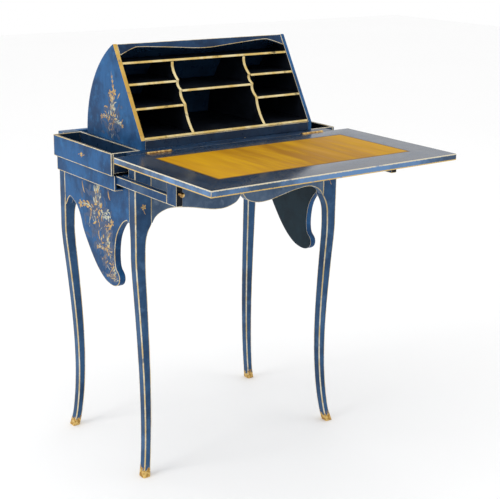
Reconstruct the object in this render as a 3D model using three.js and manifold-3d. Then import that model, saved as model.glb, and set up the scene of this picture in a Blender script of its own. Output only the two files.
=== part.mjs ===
// Painted writing table with a rising nest of pigeonholes.
//
// A small desk on cabriole legs. Its top is a flap that folds forward onto two sliding
// lopers. Behind the flap a nest of pigeonholes, a sector of a cylinder, turns up out of
// the case. An open well lies on each side of the nest, over the housing of a loper.
//
// Millimetres, +X right, +Y back, +Z up. While it is built, y is 0 on the front face of
// the case; at the end the whole group moves so that its origin is the middle of its base.
import * as THREE from 'three';
import { mergeVertices } from 'three/addons/utils/BufferGeometryUtils.js';
import Module from 'manifold-3d';

const wasm = await Module();
wasm.setup();

// ---------------------------------------------------------------- driving dimensions
const GAP = 0.3; // glue line between two pieces that touch
const PLAY = 2; // free space beside a piece that moves
const OVERRUN = 1; // how far a cutter runs past the face that it opens
const ROUND_SEGMENTS = 16; // sides of a pin, a bore or a knob

// Case
const TOP_HEIGHT = 743; // hinge plane: the closed flap lies on it
const CASE_WIDTH = 563; // over the side boards
const CASE_DEPTH = 347.5; // over the front and back legs
const BOARD = 14; // thickness of the flap and of the ledge behind it
const FACE_BOARD = 18; // apron and back board
const SIDE_BOARD = 16;
const THIN_BOARD = 5; // shelves and the floors of the wells
const SURFACE_DROP = 0.15; // upper faces lie this far under the hinge plane

// Legs
const POST_WIDTH = 41.5; // head of a leg, across
const POST_DEPTH = 27; // head of a leg, front to back
const ANKLE_WIDTH = 15;
const KNEE_WIDTH = 26;
const ANKLE_DEPTH = 20.5;
const KNEE_DEPTH = 23.5;
const FOOT_FLARE = 3;
const FOOT_HEIGHT = 46;
const SIDE_SWEEP = 17.2; // how far a leg curves inwards, seen from the front
const FRONT_SWEEP = 12.3; // the same for the front legs, seen from the side
const BACK_SWEEP = 10.3; // the same for the back legs
const SIDE_LEAN = 2; // how far the knee stands outside the foot, sideways
const FRONT_LEAN = -17.6; // the same for the front legs, towards the front
const BACK_LEAN = 7.9; // the same for the back legs, towards the back
const SWEEP_BIAS = 0.7; // under 1 puts the deepest part of the curve low on the leg
const WIDTH_BIAS = 1.3; // over 1 keeps the lower half of a leg slim
const LEG_STEPS = 18;
const ARCH_STEPS = 4;

// Heights under the hinge plane
const ARCH_DROP = 203; // where the legs start to widen into the apron
const KNEE_DROP = 243;
const ARCH_REACH = 67.5; // half width of the arch beside a leg, in the apron
const ARCH_RISE = 78.5;
const BAND_TOP_DROP = 49; // underside of the wells
const BAND_HEIGHT = 34; // loper housing
const BACK_ARCH_DROP = 21; // back end of a side board's lower edge, under its front end

// Lower edges, as [share of the way, drop under the hinge plane]
const APRON_CURVE = [ // from the middle to a leg: two lobes
  [0, 116], [0.025, 124], [0.063, 134], [0.134, 141], [0.217, 144.5], [0.334, 143],
  [0.467, 136.5], [0.617, 129], [0.784, 124.5], [0.884, 128.5], [0.96, 139],
];
const SCROLL_CURVE = [ // from the front leg to the back leg: an arch, a hanging scroll, an arch
  [0.029, 147.5], [0.083, 155], [0.145, 173], [0.193, 196], [0.215, 222], [0.22, 248],
  [0.206, 269], [0.162, 282], [0.155, 296], [0.186, 308], [0.254, 314], [0.363, 309],
  [0.469, 291.5], [0.565, 266], [0.643, 239], [0.712, 211], [0.756, 182], [0.807, 162],
  [0.872, 150.5], [0.925, 146], [0.964, 157],
];
const EDGE_STEPS = 2; // straight steps between two points of a lower edge

// Flap and hinges
const HINGE_SETBACK = 14.3; // hinge line behind the front face of the case
const HINGE_JOINT = 0.2; // half of the joint between flap and ledge
const LEDGE_DEPTH = 31.2;
const LEDGE_INSET = 5.5; // end of the ledge inside the side of the case
const FLAP_SIDE_OVERHANG = 13; // past the wells
const FLAP_BACK_OVERHANG = 25.8; // past the back legs, when it is closed
const PANEL_SIDE_BORDER = 68;
const PANEL_FRONT_BORDER = 73.4;
const PANEL_BACK_BORDER = 52;
const PANEL_THICKNESS = 2;
const HINGE_LENGTH = 62;
const HINGE_END_SPACE = 33; // end of a hinge from the end of the ledge
const LEAF_WIDTH = 10; // from the pin to the edge of a leaf
const LEAF_THICKNESS = 1.4;
const KNUCKLE_RADIUS = 2.6;
const HINGE_PIN_RADIUS = 1.1;
const KNUCKLES = 5;
const LEAF_LAP = 0.8; // how far a knuckle's tongue runs into the knuckle and the leaf

// Wells and lopers
const WELL_WALL = 5.6;
const WELL_JOINT = 3.7; // front of the wells behind the ledge
const WELL_BACK_JOINT = 5.1; // back of the wells in front of the back legs
const WELL_OVERHANG = 7.4; // past the loper housing
const HOUSING_WALL = 4.2;
const LOPER_WIDTH = 14.6;
const LOPER_HEIGHT = 18.5;
const LOPER_SIDE_PLAY = 1.5;
const LOPER_OUTER_PLAY = 0.5;
const LOPER_TOP_PLAY = 1;
const LOPER_BACK_ROOM = 2.9; // behind a loper that is pushed in
const LOPER_HEAD_DEPTH = 35.5;
const LOPER_HEAD_GAP = 0.9; // from the well to the head of a loper that is pushed in
const LOPER_GRIP = 58.6; // what stays in the housing when a loper is out
const RUNNER_SETBACK = 26; // front end of a runner behind the mouth of its housing
const KNOB_RADIUS = 5.5;
const KNOB_DROP = 27.5; // middle of a knob under the top of its head
const KNOB_NECK_RADIUS = 2.5;
const KNOB_FOOT_RADIUS = 3.7;
const KNOB_FOOT = 1.2; // thickness of the foot
const KNOB_COVE = 1; // from the foot to the neck
const KNOB_NECK = 1.2; // from there to the ball
const KNOB_STEPS = 8;
const STOP_PIN_RADIUS = 1.8;
const STOP_PIN_ROOM = 2.3; // from a stop pin to the floor of its housing
const STOP_PIN_DEPTH = 7.5; // how far it stands in the loper
const STOP_PIN_INSET = 5; // in front of the loper's tail

// Nest of pigeonholes
const NEST_INSET = 45.5; // nest's side behind the side of the case
const NEST_LEDGE_PLAY = 1.4;
const NEST_BACK_ROOM = 40.6; // free space behind the nest
const NEST_LIFT = 3.8; // centre of the curved back above the hinge plane
const NEST_SLOPE = THREE.MathUtils.degToRad(59.4); // slant of the open front
const NEST_SIDE = 10;
const NEST_SHELL = 7;
const STRIP_HEIGHT = 16.1;
const STRIP_THICKNESS = 6;
const BASE_THICKNESS = 6.4;
const DIVIDER = 7;
const SIDE_BAY = 123.5; // clear width of the outer pigeonholes
const TONGUE_LENGTH = 20; // foot of a divider, let into the floor
const DIVIDER_SCALLOP = 6; // how far a divider's edge curves back between two shelves
const TOP_SLOT = 44.5; // top shelf to ridge, along the slope
const SIDE_SHELVES = [0.387, 0.712]; // shares of the way from the floor to the top shelf
const CENTRE_SHELF = 0.58;
const VALANCE = 6;
const VALANCE_DEPTHS = [27.8, 10.8, 22.8]; // under the ridge at the end, the crest, the middle
const VALANCE_CREST = 60; // crest of the valance from its end
const VALANCE_SHOULDER = { across: 25, down: 3 }; // from the crest, towards the end
const VALANCE_TOP_GAP = 1;
const VALANCE_STEPS = 3;
const SHELL_STEPS = 20; // straight steps round the curved back
const SCALLOP_STEPS = 5;
const SHELF_SETBACK = 1;
const NEST_RELIEF = 0.5; // shelf ends in front of the curved back

// Pivots of the nest
const PIVOT_SETBACK = 7.9; // pivot in front of the nest's front face
const PIVOT_PIN_RADIUS = 3;
const PIVOT_EAR_RADIUS = 8.4;
const PIVOT_EAR_ROOM = 1.45; // from the ear to the ledge above it
const PIVOT_PIN_INSET = 10; // end of a pivot pin inside the side board
const PIVOT_TAIL = 27; // length of the ear behind the pivot
const PIVOT_BLOCK_HEIGHT = 28;
const PIN_PLAY = 0.4;

// ---------------------------------------------------------------- shared places
const caseSide = CASE_WIDTH / 2;
const postInside = caseSide - POST_WIDTH;
const surface = TOP_HEIGHT - SURFACE_DROP;
const underBoard = surface - BOARD;
const carcassTop = underBoard - GAP;
const archBase = TOP_HEIGHT - ARCH_DROP;
const bandTop = TOP_HEIGHT - BAND_TOP_DROP;
const bandBottom = bandTop - BAND_HEIGHT;

const ledgeFront = HINGE_SETBACK + HINGE_JOINT;
const ledgeBack = ledgeFront + LEDGE_DEPTH;
const ledgeEnd = caseSide - LEDGE_INSET;
const flapBack = HINGE_SETBACK - HINGE_JOINT;
const flapFront = HINGE_SETBACK - (CASE_DEPTH - HINGE_SETBACK + FLAP_BACK_OVERHANG);

const nestSide = caseSide - NEST_INSET;
const nestInside = nestSide - NEST_SIDE;
const nestFront = ledgeBack + NEST_LEDGE_PLAY;
const nestRadius = CASE_DEPTH - FACE_BOARD - NEST_BACK_ROOM - nestFront;
const arcCentre = new THREE.Vector2(nestFront, TOP_HEIGHT + NEST_LIFT);
const slopeFoot = new THREE.Vector2(nestFront, arcCentre.y + STRIP_HEIGHT);
const slopeLength = Math.sqrt(nestRadius ** 2 - (STRIP_HEIGHT * Math.cos(NEST_SLOPE)) ** 2)
  - STRIP_HEIGHT * Math.sin(NEST_SLOPE);
const pivot = new THREE.Vector2(nestFront - PIVOT_SETBACK,
  underBoard - PIVOT_EAR_ROOM - PIVOT_EAR_RADIUS);
const dividerPlace = nestInside - SIDE_BAY - DIVIDER / 2;

const cheekInside = nestSide + PLAY;
const cheekOutside = cheekInside + WELL_WALL;
const wellFront = ledgeBack + WELL_JOINT;
const wellBack = CASE_DEPTH - POST_DEPTH - WELL_BACK_JOINT;
const loperInside = caseSide + LOPER_SIDE_PLAY;
const loperOutside = loperInside + LOPER_WIDTH;
const housingOutside = loperOutside + LOPER_OUTER_PLAY + HOUSING_WALL;
const wellOutside = housingOutside + WELL_OVERHANG;
const wellFloor = bandTop + THIN_BOARD;
const flapSide = wellOutside + FLAP_SIDE_OVERHANG;
const loperTop = bandTop - LOPER_TOP_PLAY;
const loperBottom = loperTop - LOPER_HEIGHT;
const runnerBack = wellBack - HOUSING_WALL - GAP;
const loperTail = wellFront + LOPER_GRIP;
const loperTravel = runnerBack - LOPER_BACK_ROOM - loperTail;
const loperHeadBack = wellFront - LOPER_HEAD_GAP - loperTravel;
const loperHeadFront = loperHeadBack - LOPER_HEAD_DEPTH;

// ---------------------------------------------------------------- finishes
const finish = (color, roughness, metalness = 0) =>
  new THREE.MeshStandardMaterial({ color, roughness, metalness });
const bluePaint = () => finish(0x35689e, 0.45);
const navyPaint = () => finish(0x1d3450, 0.45);
const inkPaint = () => finish(0x07090d, 0.6);
const goldLeather = () => finish(0xc8941a, 0.55);
const beech = () => finish(0x8a6a45, 0.7);
const brass = () => finish(0xb98a3a, 0.35, 1);
const steel = () => finish(0x77797c, 0.4, 1);

// ---------------------------------------------------------------- shape helpers
const table = new THREE.Group();

function add(name, geometry, material) {
  const mesh = new THREE.Mesh(geometry, material);
  mesh.name = name;
  table.add(mesh);
}

/** Box between two values on each axis, given in either order. */
function box(xs, ys, zs) {
  const spans = [xs, ys, zs].map(([a, b]) => [Math.min(a, b), Math.max(a, b)]);
  const geometry = new THREE.BoxGeometry(...spans.map(([low, high]) => high - low));
  return geometry.translate(...spans.map(([low, high]) => (low + high) / 2));
}

/** Outline in (y, z), carried along X from one value to another. */
function acrossX(outline, xs, curveSegments = ROUND_SEGMENTS) {
  const [low, high] = [Math.min(...xs), Math.max(...xs)];
  const geometry = new THREE.ExtrudeGeometry(outline, {
    depth: high - low, bevelEnabled: false, curveSegments,
  });
  const turn = new THREE.Matrix4().makeBasis(
    new THREE.Vector3(0, 1, 0), new THREE.Vector3(0, 0, 1), new THREE.Vector3(1, 0, 0));
  return geometry.applyMatrix4(turn).translate(low, 0, 0);
}

/** Outline in (x, z), carried along Y from one value to another. */
function acrossY(outline, ys, curveSegments) {
  const [low, high] = [Math.min(...ys), Math.max(...ys)];
  const geometry = new THREE.ExtrudeGeometry(outline, {
    depth: high - low, bevelEnabled: false, curveSegments,
  });
  return geometry.rotateX(Math.PI / 2).translate(0, high, 0);
}

/** Closed outline through straight corners. */
const polygon = (...corners) => new THREE.Shape(corners.map(([u, v]) => new THREE.Vector2(u, v)));

/** Round bar along X, from one value to another. */
function rod(xs, y, z, radius) {
  const [low, high] = [Math.min(...xs), Math.max(...xs)];
  const geometry = new THREE.CylinderGeometry(radius, radius, high - low, ROUND_SEGMENTS);
  return geometry.rotateZ(Math.PI / 2).translate((low + high) / 2, y, z);
}

/** Round pin along Z, from one height to another. */
function upright(x, y, [low, high], radius) {
  const geometry = new THREE.CylinderGeometry(radius, radius, high - low, ROUND_SEGMENTS);
  return geometry.rotateX(Math.PI / 2).translate(x, y, (low + high) / 2);
}

function toSolid(geometry) {
  const bare = geometry.clone();
  bare.deleteAttribute('normal');
  bare.deleteAttribute('uv');
  const merged = mergeVertices(bare, 1e-4);
  return new wasm.Manifold(new wasm.Mesh({
    numProp: 3,
    vertProperties: new Float32Array(merged.attributes.position.array),
    triVerts: new Uint32Array(merged.index.array),
  }));
}

function toGeometry(solid) {
  const { vertProperties, triVerts } = solid.getMesh();
  const geometry = new THREE.BufferGeometry();
  geometry.setAttribute('position', new THREE.BufferAttribute(new Float32Array(vertProperties), 3));
  geometry.setIndex(new THREE.BufferAttribute(new Uint32Array(triVerts), 1));
  geometry.computeVertexNormals();
  return geometry;
}

function cut(body, ...tools) {
  return toGeometry(tools.reduce((rest, tool) => rest.subtract(toSolid(tool)), toSolid(body)));
}

function join(...bodies) {
  const [first, ...others] = bodies.map(toSolid);
  return toGeometry(others.reduce((sum, body) => sum.add(body), first));
}

const SIDES = [['left', -1], ['right', 1]];

// ---------------------------------------------------------------- legs
/** Height share of the knee: 0 at the floor, 1 from the knee upwards. */
const legShare = (z) => Math.min(z / (TOP_HEIGHT - KNEE_DROP), 1);

/** Where a leg's outer face stands outside its head: inward sweep below, lean at the foot. */
function legOffset(z, lean, sweep) {
  const share = legShare(z);
  return lean * (share - 1) - sweep * Math.sin(Math.PI * share ** SWEEP_BIAS);
}

/** Height of an elliptical arch's edge above its base, as a share of its rise. */
const archCurve = (share) => Math.sqrt(Math.max(0, 1 - share ** 2));

/** Leg widths at one height: they widen into an arch under the apron and the side board. */
function legSection(z) {
  const rise = Math.max(0, (z - archBase) / ARCH_RISE);
  const arch = ARCH_REACH * (1 - archCurve(rise));
  const share = Math.min(z / archBase, 1);
  const flare = FOOT_FLARE * Math.max(0, 1 - z / FOOT_HEIGHT) ** 2;
  return {
    width: Math.min(ANKLE_WIDTH + (KNEE_WIDTH - ANKLE_WIDTH) * share ** WIDTH_BIAS
      + flare + arch, POST_WIDTH),
    depth: Math.min(ANKLE_DEPTH + (KNEE_DEPTH - ANKLE_DEPTH) * share
      + arch * (POST_DEPTH - KNEE_DEPTH) / (POST_WIDTH - KNEE_WIDTH), POST_DEPTH),
  };
}

/** Height at which a leg has grown to its full head, where the apron starts. */
const archJoint = archBase
  + ARCH_RISE * archCurve(1 - (POST_WIDTH - KNEE_WIDTH) / ARCH_REACH);

/** Square leg lofted through four-cornered rings. */
function leg(sideSign, isFront) {
  const top = isFront ? carcassTop : surface;
  const lean = isFront ? FRONT_LEAN : BACK_LEAN;
  const sweep = isFront ? FRONT_SWEEP : BACK_SWEEP;
  const heights = [];
  for (let i = 0; i <= LEG_STEPS; i++) heights.push(archBase * i / LEG_STEPS);
  for (let i = 1; i <= ARCH_STEPS; i++) {
    heights.push(archBase + (archJoint - archBase) * i / ARCH_STEPS);
  }
  heights.push(top);

  const endSign = isFront ? -1 : 1;
  const endFace = isFront ? 0 : CASE_DEPTH;
  const corners = [];
  for (const z of heights) {
    const { width, depth } = legSection(z);
    const outerX = sideSign * (caseSide + legOffset(z, SIDE_LEAN, SIDE_SWEEP));
    const outerY = endFace + endSign * legOffset(z, lean, sweep);
    const innerX = outerX - sideSign * width;
    const innerY = outerY - endSign * depth;
    corners.push([outerX, outerY, z], [innerX, outerY, z], [innerX, innerY, z], [outerX, innerY, z]);
  }

  const flip = sideSign * endSign < 0;
  const faces = [];
  const quad = (a, b, c, d) => faces.push(...(flip ? [a, c, b, a, d, c] : [a, b, c, a, c, d]));
  const rings = heights.length;
  for (let ring = 0; ring + 1 < rings; ring++) {
    for (let k = 0; k < 4; k++) {
      const next = (k + 1) % 4;
      quad(ring * 4 + k, ring * 4 + next, (ring + 1) * 4 + next, (ring + 1) * 4 + k);
    }
  }
  quad(3, 2, 1, 0);
  const last = (rings - 1) * 4;
  quad(last, last + 1, last + 2, last + 3);

  const geometry = new THREE.BufferGeometry();
  geometry.setAttribute('position', new THREE.Float32BufferAttribute(corners.flat(), 3));
  geometry.setIndex(faces);
  geometry.computeVertexNormals();
  return geometry;
}

for (const [side, sign] of SIDES) {
  add(`leg_front_${side}`, leg(sign, true), bluePaint());
  add(`leg_back_${side}`, leg(sign, false), bluePaint());
}

// ---------------------------------------------------------------- apron and back board
function apronOutline(top) {
  const end = postInside - GAP;
  const half = APRON_CURVE.map(([share, drop]) => new THREE.Vector2(share * end, TOP_HEIGHT - drop));
  half.push(new THREE.Vector2(end, archJoint));
  const mirrored = half.map((p) => new THREE.Vector2(-p.x, p.y)).reverse();
  const outline = new THREE.Shape();
  outline.moveTo(-end, top);
  outline.lineTo(mirrored[0].x, mirrored[0].y);
  outline.splineThru(mirrored.slice(1));
  outline.splineThru(half.slice(1));
  outline.lineTo(end, top);
  return outline;
}

add('front_apron', acrossY(apronOutline(carcassTop), [0, FACE_BOARD], EDGE_STEPS), bluePaint());
add('back_board',
  acrossY(apronOutline(surface), [CASE_DEPTH - FACE_BOARD, CASE_DEPTH], EDGE_STEPS), bluePaint());

// ---------------------------------------------------------------- side boards
/** Side board in (y, z): straight above, below it a scroll that hangs between two arches. */
function sideBoardOutline() {
  const front = POST_DEPTH + GAP;
  const back = CASE_DEPTH - POST_DEPTH - GAP;
  const [first, ...scroll] = SCROLL_CURVE.map(([share, drop]) =>
    new THREE.Vector2(front + share * (back - front), TOP_HEIGHT - drop));
  const outline = new THREE.Shape();
  outline.moveTo(front, bandTop - GAP);
  outline.lineTo(front, archJoint);
  outline.lineTo(first.x, first.y);
  outline.splineThru(scroll);
  outline.lineTo(back, archJoint - BACK_ARCH_DROP);
  outline.lineTo(back, bandTop - GAP);
  return outline;
}

for (const [side, sign] of SIDES) {
  const across = [sign * (caseSide - SIDE_BOARD), sign * caseSide];
  add(`side_board_${side}`, acrossX(sideBoardOutline(), across, EDGE_STEPS), bluePaint());
}

// ---------------------------------------------------------------- ledge, rail and pivots
const hingeCentres = SIDES.map(([, sign]) =>
  sign * (ledgeEnd - HINGE_END_SPACE - HINGE_LENGTH / 2));
const leafRecess = LEAF_THICKNESS + GAP * 2;
const knuckleRoom = KNUCKLE_RADIUS + PIN_PLAY;

/** Room for one leaf and for the knuckles, let into the ledge (+1) or the flap (-1). */
function hingeRecess(centre, direction) {
  const xs = [centre - HINGE_LENGTH / 2 - PIN_PLAY, centre + HINGE_LENGTH / 2 + PIN_PLAY];
  const far = HINGE_SETBACK + direction * (LEAF_WIDTH + GAP);
  const near = HINGE_SETBACK + direction * knuckleRoom;
  return [
    box(xs, [HINGE_SETBACK, far], [TOP_HEIGHT - leafRecess, TOP_HEIGHT + OVERRUN]),
    box(xs, [HINGE_SETBACK, near], [TOP_HEIGHT - knuckleRoom, TOP_HEIGHT + OVERRUN]),
  ];
}

add('hinge_ledge', cut(box([-ledgeEnd, ledgeEnd], [ledgeFront, ledgeBack], [underBoard, surface]),
  ...hingeCentres.flatMap((x) => hingeRecess(x, 1))), navyPaint());

const railEnd = nestInside - PLAY;
const railBottom = carcassTop - PIVOT_BLOCK_HEIGHT;
add('front_cross_rail', box([-railEnd, railEnd], [FACE_BOARD + GAP, ledgeBack],
  [railBottom, carcassTop]), beech());

for (const [side, sign] of SIDES) {
  const block = box([sign * cheekInside, sign * (caseSide - SIDE_BOARD - GAP)],
    [POST_DEPTH + GAP, wellFront - GAP * 2], [railBottom, carcassTop]);
  const pinEnd = caseSide - SIDE_BOARD - PIVOT_PIN_INSET;
  const bore = rod([sign * (cheekInside - OVERRUN), sign * (pinEnd + PIN_PLAY)], pivot.x, pivot.y,
    PIVOT_PIN_RADIUS + PIN_PLAY);
  add(`pivot_block_${side}`, cut(block, bore), beech());
  add(`nest_pivot_pin_${side}`, rod([sign * (nestInside + GAP), sign * pinEnd], pivot.x, pivot.y,
    PIVOT_PIN_RADIUS), steel());
}

// ---------------------------------------------------------------- flap
const flapBoard = box([-flapSide, flapSide], [flapFront, flapBack], [underBoard, surface]);
const panelX = flapSide - PANEL_SIDE_BORDER;
const panelY = [flapFront + PANEL_FRONT_BORDER, flapBack - PANEL_BACK_BORDER];
const panelRecess = box([-panelX, panelX], panelY,
  [surface - PANEL_THICKNESS - GAP, surface + OVERRUN]);
add('flap_board', cut(flapBoard, panelRecess, ...hingeCentres.flatMap((x) => hingeRecess(x, -1))),
  navyPaint());
add('writing_panel', box([-panelX + GAP, panelX - GAP], [panelY[0] + GAP, panelY[1] - GAP],
  [surface - PANEL_THICKNESS, surface]), goldLeather());

// ---------------------------------------------------------------- hinges
const knuckleLength = HINGE_LENGTH / KNUCKLES;

/** Leaf with every second knuckle, on the ledge's side (+1) or the flap's (-1) of the pin. */
function hingeLeaf(centre, direction) {
  const left = centre - HINGE_LENGTH / 2;
  const leafZ = [TOP_HEIGHT - GAP - LEAF_THICKNESS, TOP_HEIGHT - GAP];
  const at = (distance) => HINGE_SETBACK + direction * distance;
  const parts = [box([left, left + HINGE_LENGTH], [at(knuckleRoom), at(LEAF_WIDTH)], leafZ)];
  for (let i = direction > 0 ? 0 : 1; i < KNUCKLES; i += 2) {
    const xs = [left + i * knuckleLength + GAP / 2, left + (i + 1) * knuckleLength - GAP / 2];
    parts.push(rod(xs, HINGE_SETBACK, TOP_HEIGHT, KNUCKLE_RADIUS));
    parts.push(box(xs, [at(KNUCKLE_RADIUS - LEAF_LAP), at(knuckleRoom + LEAF_LAP)], leafZ));
  }
  const bore = rod([left - OVERRUN, left + HINGE_LENGTH + OVERRUN], HINGE_SETBACK, TOP_HEIGHT,
    HINGE_PIN_RADIUS + PIN_PLAY);
  return cut(join(...parts), bore);
}

SIDES.forEach(([side], i) => {
  const centre = hingeCentres[i];
  const reach = HINGE_LENGTH / 2 - GAP;
  add(`hinge_leaf_ledge_${side}`, hingeLeaf(centre, 1), brass());
  add(`hinge_leaf_flap_${side}`, hingeLeaf(centre, -1), brass());
  add(`hinge_pin_${side}`, rod([centre - reach, centre + reach], HINGE_SETBACK, TOP_HEIGHT,
    HINGE_PIN_RADIUS), brass());
});

// ---------------------------------------------------------------- wells and loper housings
for (const [side, sign] of SIDES) {
  const wellInner = cheekOutside + GAP;
  const wellOuter = wellOutside - WELL_WALL - GAP;
  const across = [sign * wellInner, sign * wellOuter];
  const along = [wellFront, wellBack];
  const wallZ = [wellFloor + GAP, surface];
  add(`well_cheek_${side}`, box([sign * cheekInside, sign * cheekOutside], along,
    [bandBottom, surface]), navyPaint());
  add(`well_outer_wall_${side}`, box([sign * (wellOutside - WELL_WALL), sign * wellOutside], along,
    [bandTop, surface]), bluePaint());
  add(`well_floor_${side}`, box(across, along, [bandTop, wellFloor]), inkPaint());
  add(`well_front_wall_${side}`, box(across, [wellFront, wellFront + WELL_WALL], wallZ),
    navyPaint());
  add(`well_back_wall_${side}`, box(across, [wellBack - WELL_WALL, wellBack], wallZ), navyPaint());

  const housingInner = caseSide + GAP;
  const housingWall = housingOutside - HOUSING_WALL;
  const housing = box([sign * housingInner, sign * housingOutside], along,
    [bandBottom, bandTop - GAP]);
  const hollow = box([sign * (housingInner - OVERRUN), sign * housingWall],
    [wellFront - OVERRUN, wellBack - HOUSING_WALL], [bandBottom + HOUSING_WALL, bandTop + OVERRUN]);
  add(`loper_housing_${side}`, cut(housing, hollow), bluePaint());
}

// ---------------------------------------------------------------- lopers
/** Turned knob on the y axis, pointing forwards, its foot at the origin. */
function knob() {
  const neckFoot = KNOB_FOOT + KNOB_COVE;
  const ballFoot = neckFoot + KNOB_NECK;
  const start = Math.acos(KNOB_NECK_RADIUS / KNOB_RADIUS);
  const ballMiddle = ballFoot + KNOB_RADIUS * Math.sin(start);
  const profile = [[0, 0], [KNOB_FOOT_RADIUS, 0], [KNOB_FOOT_RADIUS, KNOB_FOOT],
    [KNOB_NECK_RADIUS, neckFoot], [KNOB_NECK_RADIUS, ballFoot]];
  for (let i = 1; i < KNOB_STEPS; i++) {
    const angle = -start + (Math.PI / 2 + start) * i / KNOB_STEPS;
    profile.push([KNOB_RADIUS * Math.cos(angle), ballMiddle + KNOB_RADIUS * Math.sin(angle)]);
  }
  profile.push([0, ballMiddle + KNOB_RADIUS]);
  const points = profile.map(([radius, height]) => new THREE.Vector2(radius, height));
  return new THREE.LatheGeometry(points, ROUND_SEGMENTS).rotateX(Math.PI);
}

const runnerFront = wellFront + RUNNER_SETBACK;
const loperMiddle = loperInside + LOPER_WIDTH / 2;
const stopPinY = loperTail - STOP_PIN_INSET;

for (const [side, sign] of SIDES) {
  const across = [sign * loperInside, sign * loperOutside];
  const pinX = sign * loperMiddle;
  const runnerZ = [bandBottom + HOUSING_WALL + GAP, loperBottom - GAP];
  const runner = box([sign * (loperInside - LOPER_SIDE_PLAY + GAP * 2), sign * loperOutside],
    [runnerFront, runnerBack], runnerZ);
  const slotHalf = STOP_PIN_RADIUS + PIN_PLAY;
  const slot = box([pinX - slotHalf, pinX + slotHalf],
    [stopPinY - slotHalf, stopPinY + loperTravel + slotHalf], [bandBottom, loperBottom + OVERRUN]);
  add(`loper_runner_${side}`, cut(runner, slot), beech());

  const holeTop = loperBottom + STOP_PIN_DEPTH + PIN_PLAY;
  const pinHole = upright(pinX, stopPinY, [loperBottom - OVERRUN, holeTop], slotHalf);
  const bar = box(across, [loperHeadBack + GAP, loperTail], [loperBottom, loperTop]);
  add(`loper_bar_${side}`, cut(bar, pinHole), bluePaint());
  add(`loper_stop_pin_${side}`, upright(pinX, stopPinY,
    [bandBottom + HOUSING_WALL + STOP_PIN_ROOM, loperBottom + STOP_PIN_DEPTH], STOP_PIN_RADIUS),
    steel());

  add(`loper_head_${side}`, box(across, [loperHeadFront, loperHeadBack], [loperBottom, carcassTop]),
    bluePaint());
  add(`loper_knob_${side}`, knob().translate(pinX, loperHeadFront - GAP, carcassTop - KNOB_DROP),
    brass());
}

// ---------------------------------------------------------------- nest of pigeonholes
const slopeDirection = new THREE.Vector2(Math.cos(NEST_SLOPE), Math.sin(NEST_SLOPE));
const slopeInward = new THREE.Vector2(Math.sin(NEST_SLOPE), -Math.cos(NEST_SLOPE));

/** Point on the open front, by distance up the slope and by depth behind it. */
const onSlope = (distance, depth = 0) => slopeFoot.clone()
  .addScaledVector(slopeDirection, distance).addScaledVector(slopeInward, depth);

/** Point at one height on the open front, moved back by a depth. */
const slopeAtHeight = (z, depth) => onSlope(
  (z - slopeFoot.y + depth * Math.cos(NEST_SLOPE)) / Math.sin(NEST_SLOPE), depth);

/** Angle at which an arc about the nest's centre comes to a depth behind the open front. */
const arcAngleAtDepth = (radius, depth) =>
  NEST_SLOPE - Math.asin((depth - STRIP_HEIGHT * Math.cos(NEST_SLOPE)) / radius);

const arcAngleAtHeight = (radius, z) => Math.asin((z - arcCentre.y) / radius);

const shellInside = nestRadius - NEST_SHELL;
const nestBottom = TOP_HEIGHT + GAP;
const baseTop = nestBottom + BASE_THICKNESS;
const floorBottom = slopeFoot.y + GAP;
const floorTop = floorBottom + THIN_BOARD;
const topShelfSurface = onSlope(slopeLength - TOP_SLOT).y;
const topShelfBottom = topShelfSurface - THIN_BOARD;

function nestSideOutline() {
  const outline = new THREE.Shape();
  outline.moveTo(nestFront, pivot.y + PIVOT_EAR_RADIUS);
  outline.lineTo(slopeFoot.x, slopeFoot.y);
  outline.absarc(arcCentre.x, arcCentre.y, nestRadius, arcAngleAtDepth(nestRadius, 0),
    arcAngleAtHeight(nestRadius, nestBottom), true);
  outline.lineTo(pivot.x + PIVOT_TAIL, nestBottom);
  outline.lineTo(pivot.x + PIVOT_TAIL, pivot.y - PIVOT_EAR_RADIUS);
  outline.absarc(pivot.x, pivot.y, PIVOT_EAR_RADIUS, -Math.PI / 2, -Math.PI * 1.5, true);
  return outline;
}

/** Level board from the open front to the curved back, between two heights. */
function nestBoard(bottom, top, xs) {
  const reach = shellInside - NEST_RELIEF;
  const front = [bottom, top].map((z) => slopeAtHeight(z, SHELF_SETBACK).x);
  const back = [bottom, top].map((z) => {
    const angle = arcAngleAtHeight(reach, z);
    return arcCentre.x + reach * Math.cos(angle);
  });
  return acrossX(polygon([front[0], bottom], [back[0], bottom], [back[1], top], [front[1], top]), xs);
}

/** Divider: its front edge curves back between the shelves that meet it. */
function dividerOutline(joints) {
  const bottom = floorTop + GAP;
  const top = topShelfBottom - GAP;
  const tongueBack = slopeAtHeight(floorBottom, SHELF_SETBACK).x + TONGUE_LENGTH;
  const reach = shellInside - NEST_RELIEF;
  const outline = new THREE.Shape();
  const foot = slopeAtHeight(floorBottom, 0);
  outline.moveTo(foot.x, foot.y);
  const stops = [floorBottom, ...joints, top];
  for (let i = 0; i + 1 < stops.length; i++) {
    const middle = slopeAtHeight((stops[i] + stops[i + 1]) / 2, DIVIDER_SCALLOP * 2);
    const end = slopeAtHeight(stops[i + 1], 0);
    outline.quadraticCurveTo(middle.x, middle.y, end.x, end.y);
  }
  outline.absarc(arcCentre.x, arcCentre.y, reach, arcAngleAtHeight(reach, top),
    arcAngleAtHeight(reach, bottom), true);
  outline.lineTo(tongueBack, bottom);
  outline.lineTo(tongueBack, floorBottom);
  return outline;
}

function shellOutline() {
  const behindValance = VALANCE + GAP;
  const bottom = baseTop + GAP;
  const outline = new THREE.Shape();
  outline.absarc(arcCentre.x, arcCentre.y, nestRadius, arcAngleAtHeight(nestRadius, bottom),
    arcAngleAtDepth(nestRadius, behindValance), false);
  outline.absarc(arcCentre.x, arcCentre.y, shellInside, arcAngleAtDepth(shellInside, behindValance),
    arcAngleAtHeight(shellInside, bottom), true);
  return outline;
}

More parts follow.
